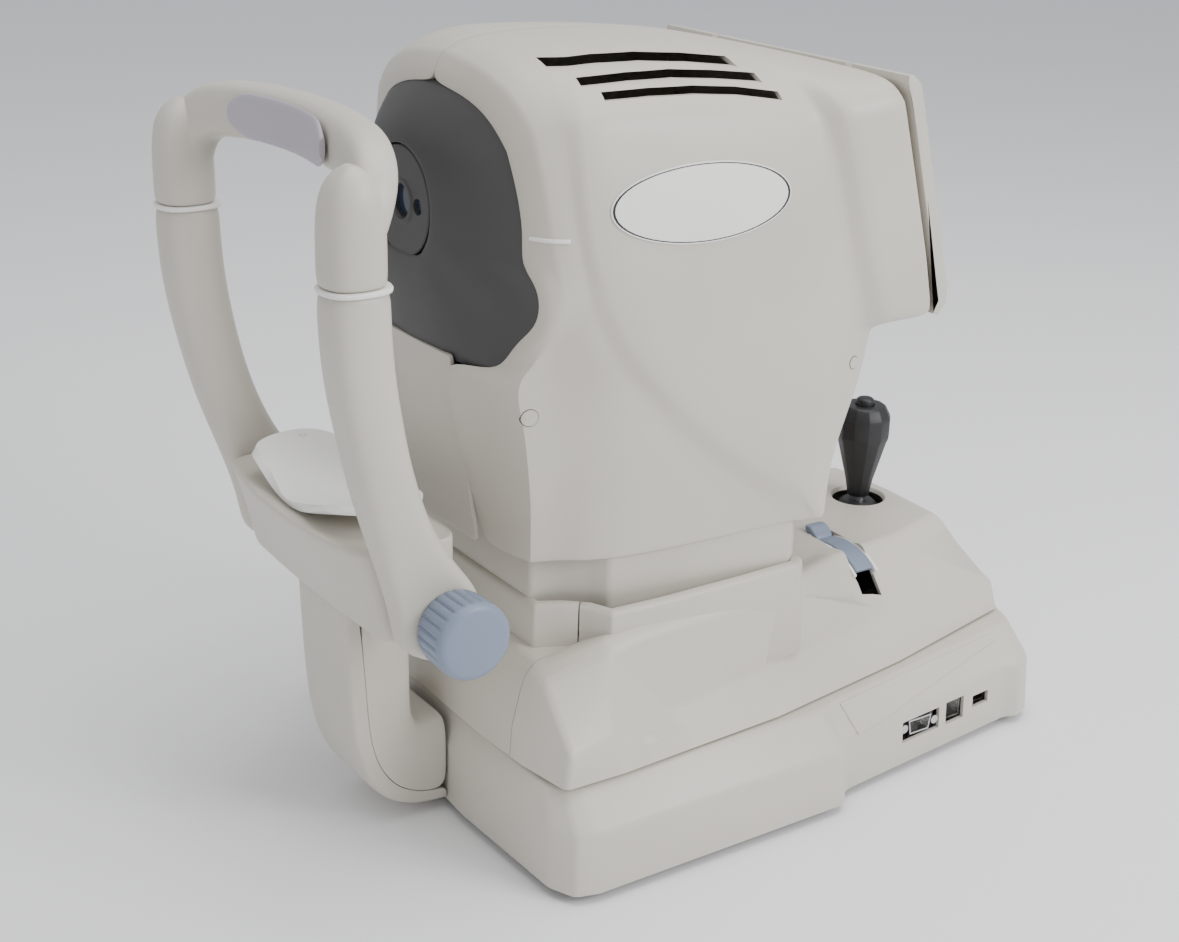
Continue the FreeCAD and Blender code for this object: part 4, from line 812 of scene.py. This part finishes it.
strip = woven("lock_strip", lever_arc(STRIP_RADIUS, 112, 52, 134, 148))
modify(weld(strip), "SOLIDIFY", thickness=0.0035, offset=-1)
soften(strip, 1, 40, 3)
dress(strip, "blue_grey_plastic", "lock_lever", "lock_lever")
tab_rings = [[place(x, LEVER_AXIS[1] + y, z + (x - 30) * 0.12)
              for x, y in rounded(x_low, x_high, -half, half, 2)] for z, x_low, x_high, half in TAB_LEVELS]
tab = round_out(stacked("lock_tab", tab_rings, low=True, high=True))
dress(tab, "blue_grey_plastic", "lock_lever")
for low, high in ((130.8, 133.4), (148.6, 151.2)):
    cheek = woven("lock_cheek", lever_arc(CHEEK_RADIUS, 116, 48, low, high))
    modify(weld(cheek), "SOLIDIFY", thickness=0.006, offset=-1)
    soften(cheek, 0.9, 40, 3)
    dress(cheek, "white_plastic", "stage")

# ---- joystick ----------------------------------------------------------------------------------------
# A black moulded grip, twelve-sided so the fingers can turn it, with a chamfered head and a round push
# button on top. Its neck narrows to the steel stem above the rubber dome.
STICK = (0, STICK_Y, 102)
GRIP_SIDES = 12
GRIP_OUTLINE = ((5.3, 20), (7.5, 20), (8, 24), (9.5, 32), (13.2, 46), (16.6, 59), (17.8, 62), (18, 64),
                (18, 75), (17.4, 77), (14.4, 82.6), (13.4, 83.6), (12.6, 84), (7, 84), (6.4, 83.4),
                (6.4, 77.2), (5.3, 77.2), (5.3, 20))
BUTTON_OUTLINE = ((0, 79), (5.9, 79), (6, 80), (6, 86.4), (5.6, 87.6), (4.6, 88.4), (3, 88.9), (0, 89))
grip = turned("joystick_handle", GRIP_OUTLINE, STICK, "Z", GRIP_SIDES)
soften(grip, 0.6, 24, 2)
dress(grip, "black_plastic", "joystick_grip", "joystick_grip", angle=20)
button = turned("joystick_button", BUTTON_OUTLINE, STICK, "Z", 32)
dress(button, "black_plastic", "measure_button", "measure_button")

# ---- monitor -----------------------------------------------------------------------------------------
# The operator's screen in its ivory frame, moulded with rounded edges and hinged at the top rear edge of
# the head. The screen itself lies behind a shallow bevelled mouth.
LEAN = math.radians(15.8)
FACE_Y, FACE_Z = 125.5, 412


def on_monitor(x, down, deep):
    """A place on the leaning face: across, down from its top edge and deep behind it."""
    return place(x, FACE_Y + down * math.sin(LEAN) - deep * math.cos(LEAN),
                 FACE_Z - down * math.cos(LEAN) - deep * math.sin(LEAN))


FRAME_SIDE = ((113.5, 425), (117, 425), (122.5, 420.5), (125.5, 412), (157.5, 299), (157.5, 290),
              (152, 284), (148, 285), (151.5, 292), (116.2, 414), (113, 421))
FRAME_HALF = 112
MOUTH_LEVELS = ((-2, 91, 9.5, 106.5), (1.4, 88.4, 11.6, 104.4), (14, 88.4, 11.6, 104.4))
HINGE_SLOTS = (((-64.6, 104, 409), (-59.4, 121, 430)), ((59.4, 104, 409), (64.6, 121, 430)))
frame_rings = [[place(x, y, z) for y, z in FRAME_SIDE] for x in (-FRAME_HALF, FRAME_HALF)]
screen_frame = stacked("monitor_bezel", frame_rings, low=True, high=True)
soften(screen_frame, 2.2, 30, 3)
mouth_rings = [[on_monitor(x, down, deep) for x, down in ((-half, top), (half, top), (half, low),
                                                          (-half, low))] for deep, half, top,
               low in MOUTH_LEVELS]
carve(screen_frame, stacked("mouth", mouth_rings, low=True, high=True),
      *[block(*slot) for slot in HINGE_SLOTS])
dress(screen_frame, "ivory_plastic", "monitor", "monitor_frame")
